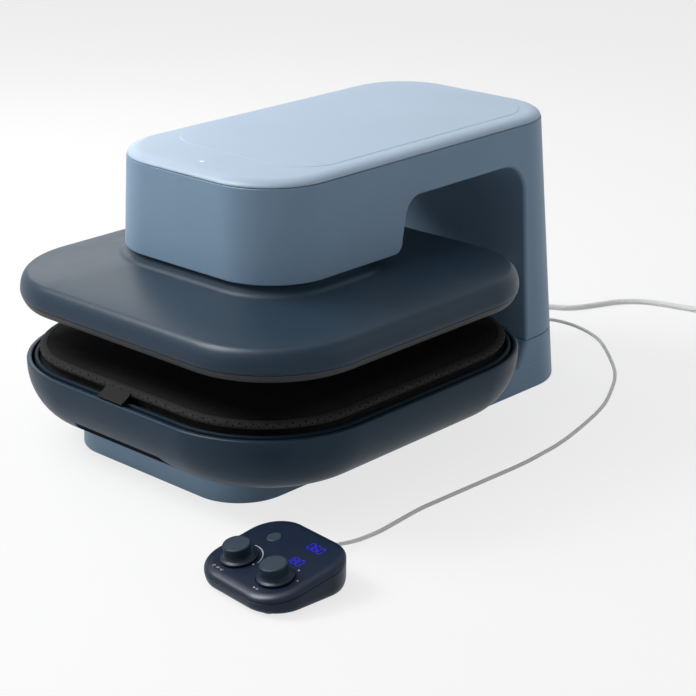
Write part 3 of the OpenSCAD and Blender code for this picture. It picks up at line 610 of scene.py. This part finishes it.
def taper_ribs(r0, r1, start, end, count, depth):
    """Alternating rings and grooves along a taper."""
    points = []
    step = (end - start) / count
    shape = ((0, 0), (0, 0.55), (depth, 0.62), (depth, 0.95))
    for k in range(count):
        at = start + k * step
        r = r0 + (r1 - r0) * k / (count - 1)
        points += [(r - low, at + step * part) for low, part in shape]
    return points + [(r1, end - 0.3), (r1 - 0.4, end)]


make_relief("lead_relief", (-40, 340, 25),
            [(8.0, 0.5), (8.0, 3.6), (6.9, 3.6), (6.9, 7.8), (8.2, 7.8), (8.6, 8.3), (8.6, 9.6), (8.1, 10.0)],
            taper_ribs(6.4, 4.3, 10.6, 40.0, 9, 0.7), "lead_gland")
make_relief("cable_relief", (40, 340, 24),
            [(7.0, 0.5), (7.0, 3.6), (5.9, 3.6), (5.9, 7.8), (7.0, 7.8), (7.4, 8.3), (7.4, 9.6), (6.9, 10.0)],
            taper_ribs(4.4, 2.8, 10.6, 23.0, 5, 0.5), "cable_gland")
plug_piece = make_plug()
tie_piece = make_tie()


# Body outlines

def body_w(z):
    return BODY_HALF - BODY_DRAFT * z


def body_back(z):
    return BODY_BACK - BODY_DRAFT * z


def body_shape(z):
    front = HEAD_FRONT + HEAD_FRONT_LEAN * z
    return (body_w(z), body_w(z), front, body_back(z), HEAD_CORNER, HEAD_CORNER)


def foot_shape(z):
    return (FOOT_HALF - FOOT_DRAFT * z, body_w(z), FOOT_FRONT + FOOT_LEAN * z, body_back(z),
            FOOT_CORNER, HEAD_CORNER)


def foot_half(y, z):
    """Half width of the foot at a depth y."""
    front, back, y_front, y_back = foot_shape(z)[:4]
    return front + (back - front) * (y - y_front) / (y_back - y_front)


def stub_shape(z):
    """The column below the seam: flared at the front, its sides run into the sides of the foot."""
    low = min(1.0, max(0.0, SPLIT - z) / (SPLIT - TRAY_FLOOR))
    front = COLUMN_FRONT - STUB_FLARE * low ** 1.2
    inside = 0.05
    half = body_w(z) + (foot_half(front, z) - inside - body_w(z)) * low
    return (half, body_w(z), front, body_back(z), STUB_CORNER, HEAD_CORNER)


# Base

def body_rings(shape, levels):
    """Rings of an outline that changes with height, at pairs of inset and height."""
    return [ring(shape(z), inset, z) for inset, z in levels]


def make_base():
    """Hollow foot and lower column, with recesses for the hinge and the switch."""
    lower = [(1.2, 0.8), (0.4, 1.2), (0, 2.6)]
    foot_top = [(0, 28.6), (0.3, 29.8), (1.0, 30.6), (2.2, 31)]
    foot = loft("base_housing", body_rings(foot_shape, lower + foot_top))
    top = SPLIT - SPLIT_GAP
    rise = [TRAY_FLOOR + (top - 0.9 - TRAY_FLOOR) * i / 12 for i in range(13)]
    stub_top = [(0, z) for z in rise] + [(0.3, top - 0.3), (0.9, top)]
    combine(foot, loft("stub", body_rings(stub_shape, lower + stub_top)), "UNION")
    for shape, heights in ((foot_shape, (0, 5, TRAY_FLOOR - WALL)), (stub_shape, (0, *rise, SPLIT + 2))):
        combine(foot, loft("inner", body_rings(shape, [(WALL, z) for z in heights])), "DIFFERENCE")
    hinge = block("recess", (-HINGE_HALF, 336, 48), (HINGE_HALF, REAR_CUT, SPLIT + 2))
    switch = block("recess", (-10, 335, 14), (10, REAR_CUT, 38))
    for recess in (hinge, switch):
        combine(foot, recess, "DIFFERENCE")
    piece(shaded(foot), "base", "blue_plastic", "base_shell")


make_base()


# Lower platen

tray_look = plastic("tray_plastic", "#293a49", 0.37, 0.09)
bezel_look = plastic("bezel_plastic", "#1d2a36", 0.5, 0.03)
# Near-black plastic for the inside of the finger notch: painted shade in the recess.
notch_shade_look = plastic("notch_painted_shade", "#10171e", 0.6, 0.03)


def tray_inset(z):
    """Inset of the bowl's outside from its rim at a height."""
    lip, reach, top, depth, power = -3.4, 44.0, 85.0, 58.0, 1.9
    return lip + reach * (1 - max(0.0, 1 - (max(0.0, top - z) / depth) ** power) ** (1 / power))


def make_tray():
    """Bowl with a rolled rim and a finger notch with slanted ends under its front edge; the notch's back wall
    and ceiling take a near-black material, painted shade.
    """
    levels = 30
    heights = [TRAY_FLOOR + (89.4 - TRAY_FLOOR) * (i / levels) ** 1.25 for i in range(levels + 1)]
    rings = rings_at(TRAY, [(tray_inset(z), z) for z in heights])
    rim = [(-2.9, 90.6), (-2.2, 91.2), (-1.2, 91.5), (0.0, 91.6), (1.0, 91.5), (1.7, 91.1), (2.0, 90.4)]
    inside = (86, 79, 70, 61, 54, 47, 41, 37, TRAY_FLOOR + WALL)
    inner = [(tray_inset(z) + WALL + max(0, 40 - z) * 0.5, z) for z in inside]
    rings += rings_at(TRAY, rim + [(2.4, TRAY_RIM - 2.4)] + inner)
    tray = loft("tray_bowl", rings)
    fill = block("fill", (NOTCH_LEFT - 12, -240, 20), (NOTCH_RIGHT + 16, -197, 50))
    combine(fill, loft("bowl", rings_at(TRAY, [(tray_inset(z) + 0.4, z) for z in heights])), "INTERSECT")
    combine(tray, fill, "UNION")
    back, front, top, bend, low = NOTCH_BACK, NOTCH_BACK - 40, NOTCH_TOP, 35, 20
    notch = [(back, low), (back, bend), (back, 42.7), (back - 0.6, 44.8), (back - 2, 46), (back - 4, top),
             (front, top), (front, bend), (front, low)]
    cutter = extruded("notch", notch, NOTCH_LEFT, NOTCH_RIGHT)
    for vertex in cutter.data.vertices:
        z = vertex.co.z / MM
        left_slant, right_slant = 9 * (z - low) / (top - low), 13 * max(0, z - bend) / (top - bend)
        vertex.co.x += (left_slant if vertex.co.x < 0 else -right_slant) * MM
    combine(tray, cutter, "DIFFERENCE")
    piece(shaded(tray), "base", "navy_plastic", "lower_tray", material=tray_look)
    # The back wall and ceiling of the notch take the dark material: painted shade.
    tray.data.materials.append(notch_shade_look)
    for face in tray.data.polygons:
        x, y, z = face.center / MM
        in_notch = NOTCH_LEFT < x < NOTCH_RIGHT and z < top + 0.2
        on_ceiling = face.normal.z < -0.9 and z > top - 0.7
        if in_notch and (abs(y - back) < 0.9 or on_ceiling):
            face.material_index = 1


def make_bezel():
    profile = [(8.0, 74.0), (5.2, 77.0), (5.0, 90.0), (5.1, 91.4), (5.5, 92.3), (6.1, 92.8), (6.9, 93.0),
               (7.6, 93.0), (8.3, 92.9), (8.9, 92.5), (9.4, 91.8), (9.8, 90.8), (9.8, 78.0), (12.0, 74.0)]
    bezel = loft("tray_bezel", rings_at(TRAY, profile), wrap=True)
    piece(shaded(bezel), "base", "navy_plastic", "platform_bezel", material=bezel_look)


make_tray()
make_bezel()


# Mat

# The border's felt is lighter than the pad's fabric: partly a border band of its own, partly painted light
# where light reaches the mat's edge.
border_look = felted("border_felt", "#39393a", 900.0, 0.7, 0.0, 0.6, 0.03, 6.0)
# Near-black discs drawn for the small holes of the border: painted shade inside the holes.
hole_shade_look = plastic("perforation_shade", "#050505", 0.9, 0.05)
tab_look = woven("label_weave", "#07080a", 0.5, sheen=0.0)


def along(shape, inset, spacing):
    """Evenly spaced places on an outline: x, y and the direction outwards."""
    points = outline(shape, inset)
    steps = list(zip(points, points[1:] + points[:1]))
    lengths = [math.dist(p, q) for p, q in steps]
    count = round(sum(lengths) / spacing)
    pitch = sum(lengths) / count
    places, run, k = [], 0.0, 0
    for i in range(count):
        while run + lengths[k] < i * pitch:
            run += lengths[k]
            k += 1
        (px, py), (qx, qy) = steps[k]
        t = (i * pitch - run) / lengths[k]
        dx, dy = qx - px, qy - py
        places.append((px + dx * t, py + dy * t, dy / lengths[k], -dx / lengths[k]))
    return places


# Profile of a hole: radius and height
HOLE = [(0.95, -0.6), (0.95, 0.0), (0.7, 0.14)]


def make_mat():
    """Foam pad in a fabric cover, with a crowned top and a rolled border that has two rows of small holes."""
    edge = [(18.0, 96.0), (15.6, 96.5), (13.2, 97.3), (11.6, 98.6), (10.9, 100.2), (11.0, 101.8),
            (11.7, 103.2), (13.0, 104.1), (14.9, 104.6), (17.2, 104.6), (19.0, 104.2), (19.6, 102.0),
            (19.0, 98.6)]
    rings = smoothed(rings_at(TRAY, edge), 2)
    piece(shaded(loft("mat_border", rings, wrap=True), 60), "base", "mat_fabric", material=border_look)
    pad = [(10.0, 88.0), (10.0, 88.6), (16.8, 88.9), (17.5, 90.0), (17.5, 95.6), (18.2, 99.0), (18.8, 103.4),
           (20.0, 104.1), (22.0, 104.45), (26.0, 104.6), (40.0, 104.7), (80.0, 104.78), (120.0, 104.8)]
    rings = smoothed(rings_at(TRAY, pad), 2)
    mat = piece(shaded(loft("mat_pad", rings), 60), "base", "mat_fabric", "pressing_mat", "mat_core")
    holes = []
    for k, (x, y, nx, ny) in enumerate(along(TRAY, 11.0, 6.4)):
        back, z, rise = ((0.0, 101.0, 0.1), (0.75, 103.2, 1.1))[k % 2]
        holes.append(((x - back * nx, y - back * ny, z), (nx, ny, rise)))
    piece(shaded(studs("mat_hole_shades", holes, HOLE)), "base", "mat_fabric", material=hole_shade_look)


def make_tab():
    """Woven label sewn to the edge of the mat, folded over the bezel and the rim."""
    centre, half, thick, across = -4.0, 18.0, 0.75, 14
    path = [(-219.6, 102.2), (-221.0, 101.3), (-222.6, 99.9), (-225.0, 98.2), (-227.8, 96.6), (-230.4, 95.2),
            (-232.2, 94.2), (-233.1, 93.5)]
    rings = []
    for k, (y, z) in enumerate(path):
        (y0, z0), (y1, z1) = path[max(k - 1, 0)], path[min(k + 1, len(path) - 1)]
        up = Vector((1, 0, 0)).cross(Vector((0, y1 - y0, z1 - z0)).normalized())
        section = []
        for side, order in ((-1, range(across + 1)), (1, range(across, -1, -1))):
            for i in order:
                wave = 0.25 * math.sin(i * 0.9 + k * 0.5)
                x = centre - half + 2 * half * i / across
                section.append(Vector((x, y, z)) + up * (wave + side * thick))
        rings.append(section)
    tab = loft("mat_label", smoothed(rings, 2))
    piece(shaded(tab, 50), "base", "mat_fabric", "mat_tab", material=tab_look)


make_mat()
make_tab()


# Head

def side_profile(d, below):
    """Side view of the head as (y, z) points, its opening grown by d and its lower edges lowered by below."""
    rear_r, front_r, front_y = 33.0, 24.0, 58.6
    lip_y, lip_depth, lip_rise = 53, 13, 12
    far_front, far_back, far_top = -200, 400, 360
    bottom = SPLIT + SPLIT_GAP - below
    points = [(COLUMN_FRONT + d, bottom)]
    points += arc_points((COLUMN_FRONT - rear_r, ARCH_TOP - rear_r), rear_r + d, range(0, 91, 5))
    points += arc_points((front_y + front_r, ARCH_TOP - front_r), front_r + d, range(90, 172, 5))
    if d > 0:
        points += [(50, HEAD_BOTTOM + 7.6), (50, HEAD_BOTTOM - below)]
    else:
        for a in range(0, 91, 9):
            t = math.radians(a)
            rise = lip_rise * (1 - math.sin(t))
            points.append((lip_y - lip_depth * (1 - math.cos(t)), HEAD_BOTTOM + rise))
    points += [(far_front, HEAD_BOTTOM - below), (far_front, far_top)]
    return points + [(far_back, far_top), (far_back, bottom)]


def soften_head(obj, wide=4.0, narrow=1.3):
    """Rounds the sharp edges a little, and more where the side opening meets the sides."""
    made = bmesh.new()
    made.from_mesh(obj.data)
    weight = made.edges.layers.float.new("bevel_weight_edge")
    sharp, near = math.radians(32), 0.2
    for edge in made.edges:
        if edge.calc_face_angle(0.0) < sharp:
            continue
        ends = [v.co / MM for v in edge.verts]
        on_side = all(abs(abs(p.x) - body_w(p.z)) < near for p in ends)
        in_arch = all(39 < p.y < COLUMN_FRONT + near and p.z < ARCH_TOP + near for p in ends)
        rises = max(p.z for p in ends) > SPLIT + 3
        edge[weight] = narrow / wide
        if on_side and in_arch and rises:
            middle = (ends[0].y + ends[1].y) / 2
            edge[weight] = min(1.0, max(narrow / wide, (middle - 36) / 20))
    made.to_mesh(obj.data)
    made.free()
    bevel = obj.modifiers.new("edges", "BEVEL")
    bevel.width, bevel.segments = wide * MM, 4
    bevel.limit_method = "WEIGHT"
    bevel.use_clamp_overlap = False
    bake(obj)


def make_head():
    """Hollow C-shaped housing with a recess for the hinge."""
    outer = loft("head_housing", body_rings(body_shape, [(0, SPLIT), (0, HEAD_TOP)]))
    combine(outer, extruded("side", side_profile(0, 0), -200, 200), "INTERSECT")
    soften_head(outer)
    inner = loft("inner", body_rings(body_shape, [(WALL, 50), (WALL, HEAD_TOP + 5)]))
    combine(inner, extruded("side", side_profile(WALL, 10), -200, 200), "INTERSECT")
    combine(outer, inner, "DIFFERENCE")
    recess = block("recess", (-HINGE_HALF, 330, SPLIT - 2), (HINGE_HALF, REAR_CUT, SPLIT + 19))
    combine(outer, recess, "DIFFERENCE")
    piece(shaded(outer), "head", "blue_plastic", "head_shell")


COVER = (*body_shape(HEAD_TOP)[:4], HEAD_CORNER + 2, HEAD_CORNER + 2)
PANEL = (COVER[0] - 21.5, COVER[0] - 21.5, COVER[2] + 68.6, COVER[3] - 20, 48.0, 60.0)
LIGHT_Y = COVER[2] + 29.6
PANEL_RISE = 0.45


def make_cover():
    """Pale lid with a soft edge and a shallow bed for the panel."""
    z0 = HEAD_TOP + SEAM
    top = COVER_TOP - PANEL_RISE
    h = top - z0
    rings = rings_at(COVER, [(4.0, 0.0), (0.8, 0.0), (0.25, 0.2), (0.0, 0.8)], z0)
    for i in range(1, 15):
        t = math.radians(90 * i / 14)
        rings.append(ring(COVER, 14 * (1 - math.cos(t)), z0 + h * math.sin(t)))
    rings += rings_at(PANEL, [(-3.0, 0.0), (0.3, 0.0), (0.5, -0.3), (0.5, -1.1), (4.0, -1.1)], top)
    rings += [ring(PANEL, 4.0, COVER_TOP - 3.4), ring(COVER, 12.0, COVER_TOP - 3.5),
              ring(COVER, 6.0, z0 + 0.28 * h)]
    piece(shaded(loft("head_cover", rings, wrap=True)), "head", "pale_blue_plastic", "top_cover")


def make_panel():
    levels = [(1.0, -1.4), (0.6, -1.2), (0.1, -0.7), (0.0, -0.45), (0.25, -0.2), (0.8, -0.06), (1.6, 0.0),
              (20.0, 0.0)]
    panel = loft("head_panel", rings_at(PANEL, levels, COVER_TOP))
    piece(shaded(panel), "head", "pale_blue_plastic", "top_panel")


def make_light():
    profile = [(2.3, -3.0), (2.4, -2.8), (2.4, 0.0), (2.2, 0.16), (1.6, 0.22), (0.4, 0.25)]
    lens = lathe("status_lens", profile, centre=(0, LIGHT_Y), base=COVER_TOP - PANEL_RISE)
    piece(shaded(lens), "head", "lens", "status_light")


make_head()
make_cover()
make_panel()
make_light()


# Upper platen

def make_platen():
    """Dish with a soft shoulder that sweeps up into the neck; its rows are outline, inset and height."""
    def rings_of(rows):
        return [ring(shape, inset, HEAT_FACE + h) for shape, inset, h in rows]

    profile = [(PLATEN, 0.75, 10.6), (PLATEN, 0.0, 14.0), (PLATEN, 0.5, 20.0), (PLATEN, 2.2, 26.0),
               (PLATEN, 5.4, 31.0), (PLATEN, 10.0, 34.0), (SHOULDER, 0.0, 49.2), (NECK, -10.4, 52.0),
               (NECK, -5.4, 54.4), (NECK, -2.2, 57.6), (NECK, 0.0, 62.0)]
    lip = [(PLATEN, 2.0, 10.0), (PLATEN, 1.3, 10.05), (PLATEN, 0.95, 10.25)]
    outer = rings_of(lip) + smoothed(rings_of(profile), 5) + [ring(NECK, 0.0, HEAD_BOTTOM + 52.6)]
    inner = [(NECK, 2.5, 113.0), (NECK, 2.5, 60.0), (NECK, 3.0, 53.0), (SHOULDER, 4.0, 45.6),
             (PLATEN, 11.0, 30.0), (PLATEN, 6.0, 25.0), (PLATEN, 3.4, 19.0), (PLATEN, 3.6, 10.0)]
    shell = loft("platen_shell", outer + rings_of(inner), wrap=True)
    piece(shaded(shell), "platen", "navy_plastic", "platen_cover", "platen_neck")


def make_skirt():
    """Lower ring of the platen: a rolled edge under the seam, with the heat plate inside."""
    profile = [(8.0, 1.0), (6.6, 1.15), (5.3, 1.9), (4.3, 3.2), (3.2, 5.0), (2.3, 6.8), (1.6, 8.4),
               (1.15, 9.3), (1.25, 9.6), (1.7, 9.75), (3.5, 9.75), (4.6, 7.5), (7.6, 4.2)]
    rings = rings_at(PLATEN, profile, HEAT_FACE) + rings_at(HEAT, [(-1.5, 4.0), (-1.5, 1.0)], HEAT_FACE)
    piece(shaded(loft("platen_ring", rings, wrap=True)), "platen", "grey_plastic", "platen_skirt")


def make_heat_plate():
    profile = [(2.0, 0.0), (1.2, 0.1), (0.4, 0.6), (0.0, 1.4), (0.0, 12.0)]
    plate = loft("hot_plate", rings_at(HEAT, profile, HEAT_FACE))
    piece(shaded(plate), "platen", slot_of["heat_plate"], "heat_plate")


def make_platen_screws():
    places = [(side * (PLATEN[0] - 23), y) for side in (-1, 1) for y in (-60, 30)]
    places += [(x, y) for x in (-60, 60) for y in (PLATEN[2] + 15, PLATEN[3] - 15)]
    screw_heads("platen_screws", places, HEAT_FACE + 1.9, "platen")


make_platen()
make_skirt()
make_heat_plate()
make_platen_screws()


# Control pod

pod_look = plastic("pod_plastic", "#112035", 0.36, 0.19)
knob_look = plastic("knob_plastic", "#1d2b38", 0.38, 0.12)
print_look = plastic("printed_mark", "#b9bec4", 0.6, 0.2, 0.05)
digit_look = Look("lit_digits", "#2222b4", 0.5, 0.1).mottle(900.0, 0.6).glow(0.42).material

pod_place = Matrix.Translation(POD_AT) @ Matrix.Rotation(math.radians(POD_TURN), 4, "Z")
POD_TILT = math.atan(POD_SLOPE)


def on_pod(x, y):
    """Frame on the sloping top of the pod, with its origin on that face."""
    return (pod_place @ Matrix.Translation((x, y, POD_JOINT + 6 + POD_SLOPE * y))
            @ Matrix.Rotation(POD_TILT, 4, "X"))


def make_pod_base():
    rings = rings_at(POD, [(6.0, 1.5), (4.2, 1.7), (2.6, 2.8), (1.5, 4.6), (0.7, 7.2), (0.2, 10.5)])
    rings += rings_at(POD, [(0.0, -0.9), (0.25, -0.4), (0.7, -0.2), (2.4, -0.2)], POD_JOINT, POD_SLOPE)
    rings += rings_at(POD, [(3.4, 8.0), (6.4, 3.5)])
    case = loft("pod_case", rings, place=pod_place)
    piece(shaded(case), "base", "navy_plastic", "pod_base", material=pod_look)


def make_pod_top():
    """Lid with a soft edge, a hole for the button and round seats for the dials."""
    levels = [(8.0, 3.6), (3.4, 1.6), (2.4, 0.2), (0.7, 0.2), (0.2, 0.4), (0.0, 0.9)]
    for i in range(1, 13):
        t = math.radians(90 * i / 12)
        levels.append((9 * (1 - math.cos(t)), 0.9 + 5.1 * math.sin(t)))
    pod = loft("pod_lid", rings_at(POD, levels + [(20.0, 6.0)], POD_JOINT, POD_SLOPE), place=pod_place)
    hole = [(7.55, -5.0), (7.55, -0.5), (7.9, -0.1), (8.3, 1.0)]
    combine(pod, lathe("hole", hole, on_pod(-DIAL_X, BUTTON_Y)), "DIFFERENCE")
    seat = [(18.2, -0.9), (18.2, -0.2), (18.5, 0.1), (18.5, 1.0)]
    for x in (-DIAL_X, DIAL_X):
        combine(pod, lathe("recess", seat, on_pod(x, DIAL_Y), sides=96), "DIFFERENCE")
    piece(shaded(pod), "base", "navy_plastic", "pod_top", material=pod_look)


def make_dial(name, x, body, replaced):
    """Turned knob with a flared skirt, and a paler flat cap let into its top."""
    r, h = DIAL_R, DIAL_H
    knob = [(15.6, 0.5), (16.8, 0.6), (17.3, 1.1), (17.3, 1.7), (16.9, 2.2), (16.2, 2.5), (15.0, 2.9),
            (14.1, 3.5), (13.5, 4.4), (13.1, 5.6), (12.9, 7.2), (r - 0.3, 9.5), (r, h - 1.2),
            (r - 0.1, h - 0.6), (r - 0.4, h - 0.2), (r - 0.9, h), (r - 1.3, h - 0.1), (r - 1.4, h - 1.0)]
    cap = [(r - 1.5, h - 1.1), (r - 1.5, h - 0.2), (r - 1.7, h - 0.05), (r - 2.2, h), (3.0, h)]
    place = on_pod(x, DIAL_Y)
    piece(shaded(lathe(name, knob, place, sides=96), 50), body, "dial_plastic", replaced, material=knob_look)
    piece(shaded(lathe(name + "_cap", cap, place, sides=96), 50), body, "dial_plastic")


def make_button():
    profile = [(6.4, -4.6), (7.2, -4.2), (7.2, -0.4), (7.0, 0.0), (6.4, 0.25), (5.2, 0.3), (2.0, 0.1),
               (0.6, 0.05)]
    button = lathe("round_button", profile, on_pod(-DIAL_X, BUTTON_Y), sides=72)
    piece(shaded(button, 50), "button", "dial_plastic", "preset_button")


def arc_shape(x, y, r, width, start, end, steps=28):
    """Crescent stroke round a centre, narrower towards its ends."""
    def at(radius, angle):
        return (x + radius * math.cos(angle), y + radius * math.sin(angle))
    angles = [math.radians(start + (end - start) * i / steps) for i in range(steps + 1)]
    half = [width / 2 * (0.55 + 0.45 * math.sin(math.pi * i / steps)) for i in range(steps + 1)]
    return [at(r + h, a) for a, h in zip(angles, half)] + [at(r - h, a) for a, h in zip(angles, half)][::-1]


def dot_shape(x, y, r, sides=16):
    return arc_points((x, y), r, [360 * i / sides for i in range(sides)])


def bar_shape(x, y, w, h):
    return [(x - w / 2, y - h / 2), (x + w / 2, y - h / 2), (x + w / 2, y + h / 2), (x - w / 2, y + h / 2)]


# Lit bars of the digits in use
SEGMENTS = {"0": "abcdef", "1": "bc", "6": "afgecd", "8": "abcdefg"}


def digit_shapes(digit, x, y, w, h, t):
    """Lit bars of one seven-bar digit whose lower left corner is at x, y."""
    def bar(x0, y0, x1, y1):
        size = math.hypot(x1 - x0, y1 - y0)
        ux, uy = (x1 - x0) / size, (y1 - y0) / size
        gap, tip = 0.25, t / 2
        corners = ((gap, 0), (gap + tip, -tip), (size - gap - tip, -tip), (size - gap, 0),
                   (size - gap - tip, tip), (gap + tip, tip))
        return [(x0 + ux * run - uy * off, y0 + uy * run + ux * off) for run, off in corners]

    x1, y1, y2 = x + w, y + h / 2, y + h
    places = {"a": (x, y2, x1, y2), "b": (x1, y1, x1, y2), "c": (x1, y, x1, y1), "d": (x, y, x1, y),
              "e": (x, y, x, y1), "f": (x, y1, x, y2), "g": (x, y1, x1, y1)}
    return [bar(*places[c]) for c in SEGMENTS[digit]]


def make_marks():
    """Printed marks round the dials and the lit digits under the lid."""
    def mark(name, shapes, material):
        piece(plates(name, shapes, on_pod(0, 0)), "base", "navy_plastic", material=material)

    mark("dial_scale", [arc_shape(-DIAL_X, DIAL_Y, 21.6, 1.2, 10, 98), dot_shape(-6.1, -20.0, 0.95),
                        dot_shape(34.5, -0.8, 0.9), dot_shape(46.2, -12.4, 0.9)], print_look)
    icons = [arc_shape(-34.0, -43.2, 1.3, 0.5, 0, 300), bar_shape(-28.6, -43.7, 3.0, 0.5),
             bar_shape(-28.6, -42.3, 3.0, 0.5), arc_shape(-23.2, -43.0, 1.3, 0.5, 120, 420),
             [(21.6, -44.0), (24.2, -42.8), (21.6, -41.6)], bar_shape(26.0, -42.9, 0.6, 2.4),
             bar_shape(27.4, -42.9, 0.6, 2.4)]
    mark("dial_icons", icons, print_look)
    lit = []
    for text, x, y, pitch in (("180", 11.0, 2.6, 6.6), ("060", 11.8, 27.2, 6.6)):
        for k, digit in enumerate(text):
            lit += digit_shapes(digit, x + pitch * k, y, 4.7, 9.0, 1.2)
    mark("display_digits", lit, digit_look)


make_pod_base()
make_pod_top()
make_dial("dial_left", -DIAL_X, "left_knob", "left_dial")
make_dial("dial_right", DIAL_X, "right_knob", "right_dial")
make_button()
make_marks()
make_relief("pod_relief", (-9, POD[3] - 5, 9),
            [(4.8, 0.2), (4.8, 1.9), (4.0, 1.9), (4.0, 5.2), (4.7, 5.2), (5.0, 5.6), (5.0, 6.6), (4.5, 7.0)],
            taper_ribs(3.9, 2.8, 7.4, 16.5, 4, 0.5), "pod_gland", pod_place)


# Underside and rear switch

def half_turn(axis):
    return Matrix.Rotation(math.pi, 4, axis)


def make_underside():
    """Screws of the bottom plate, and its air slots drawn as thin black plates: painted shade in the
    openings.
    """
    plate, slot_r, slot_front, slot_back = 3, 2.5, 170, 230
    places = [(x, y) for x in (-118, 118) for y in (-120, 60, 180, 290)]
    screw_heads("bottom_screws", places, plate - 0.1, "base")
    bow = [180 * i / 8 for i in range(9)]
    slots = [arc_points((x, slot_back), slot_r, bow) + arc_points((x, slot_front), -slot_r, bow)
             for x in range(-70, 71, 14)]
    flip = Matrix.Translation((0, 0, plate)) @ half_turn("Y")
    # Black plates in the shape of the slots: painted shade where the air openings are.
    piece(plates("air_slot_shades", slots, flip, 0.05), "base", "black_plastic")


def make_switch_marks():
    """Line and ring on the two halves of the rocker."""
    pivot, rest_tilt, half_tilt, out, up = (0, 343, 26), 8, 9.5, 5.78, 4.6
    tilt = Matrix.Translation(pivot) @ Matrix.Rotation(math.radians(rest_tilt), 4, "X")
    line = [bar_shape(0, 0, 0.9, 4.0)]
    ring_halves = [arc_shape(0, 0, 1.7, 0.8, start, start + 180) for start in (0, 180)]
    for name, marks, side in (("rocker_line", line, 1), ("rocker_ring", ring_halves, -1)):
        lean = Matrix.Rotation(math.radians(-90 - half_tilt * side), 4, "X")
        face = tilt @ Matrix.Translation((0, out, up * side)) @ lean @ half_turn("Z")
        piece(plates(name, marks, face), "rocker", "black_plastic", material=print_look)


make_underside()
make_switch_marks()


# Stage: floor, world and lights

def seen_rays(tree):
    """1 for rays that show the backdrop: from the camera, off gloss or through glass."""
    path = tree.nodes.new("ShaderNodeLightPath")
    seen = path.outputs["Is Camera Ray"]
    for kind in ("Is Glossy Ray", "Is Transmission Ray"):
        most = tree.nodes.new("ShaderNodeMath")
        most.operation = "MAXIMUM"
        tree.links.new(seen, most.inputs[0])
        tree.links.new(path.outputs[kind], most.inputs[1])
        seen = most.outputs[0]
    return seen


def make_floor():
    """Pale floor that keeps the shadow and is partly lit by itself for the rays that show it."""
    mesh = bpy.data.meshes.new("floor")
    size, z = 12.0, -0.2 * MM
    corners = [(x * size, y * size, z) for x, y in ((-1, -1), (1, -1), (1, 1), (-1, 1))]
    mesh.from_pydata(corners, [], [(0, 1, 2, 3)])
    floor = bpy.data.objects.new("floor", mesh)
    scene.collection.objects.link(floor)
    look = Look("floor", "#ffffff", 0.9, 0.0)
    look.set("Base Color", (0.86, 0.86, 0.86, 1))
    glow, mix = look.node("ShaderNodeEmission"), look.node("ShaderNodeMixShader")
    look.link(look.math("MULTIPLY", seen_rays(look.tree), 0.75), mix.inputs["Fac"])
    look.link(look.shader.outputs[0], mix.inputs[1])
    look.link(glow.outputs[0], mix.inputs[2])
    look.link(mix.outputs[0], look.tree.nodes["Material Output"].inputs["Surface"])
    mesh.materials.append(look.material)


def make_world():
    """White backdrop that lights the object only weakly."""
    scene.world = bpy.data.worlds.new("studio")
    scene.world.use_nodes = True
    tree = scene.world.node_tree
    background = tree.nodes["Background"]
    background.inputs["Color"].default_value = (1, 1, 1, 1)
    level = tree.nodes.new("ShaderNodeMapRange")
    level.inputs["To Min"].default_value, level.inputs["To Max"].default_value = 0.2, 1.0
    tree.links.new(seen_rays(tree), level.inputs["Value"])
    tree.links.new(level.outputs["Result"], background.inputs["Strength"])


def softbox(name, place, target, size, power, diffuse=True, glossy=True):
    """Soft area light; it may be left out of matt light or of reflections."""
    data = bpy.data.lights.new(name, "AREA")
    data.shape, data.size, data.size_y = "RECTANGLE", size[0], size[1]
    data.energy = power
    light = bpy.data.objects.new(name, data)
    scene.collection.objects.link(light)
    light.visible_diffuse, light.visible_glossy = diffuse, glossy
    light.location = place
    light.rotation_euler = (Vector(target) - Vector(place)).to_track_quat("-Z", "Y").to_euler()


make_floor()
make_world()
softbox("overhead", (-0.3, -0.4, 2.5), (0, 0.0, 0.2), (1.8, 1.8), 15)
softbox("left_key", (-1.6, -1.0, 1.95), (0, 0, 0.2), (1.2, 1.2), 50, glossy=False)
softbox("corner_gleam", (-0.8, -1.0, 1.95), (0, 0, 0.2), (1.1, 1.1), 120, diffuse=False)
softbox("front", (-0.9, -2.6, 1.1), (0, 0, 0.2), (1.4, 1.2), 9)
softbox("left_rear", (-1.3, 0.5, 0.95), (-0.2, -0.05, 0.2), (0.7, 0.7), 4.5)
softbox("rear_right", (2.4, 1.3, 1.2), (0, 0.2, 0.2), (1.4, 1.4), 7)
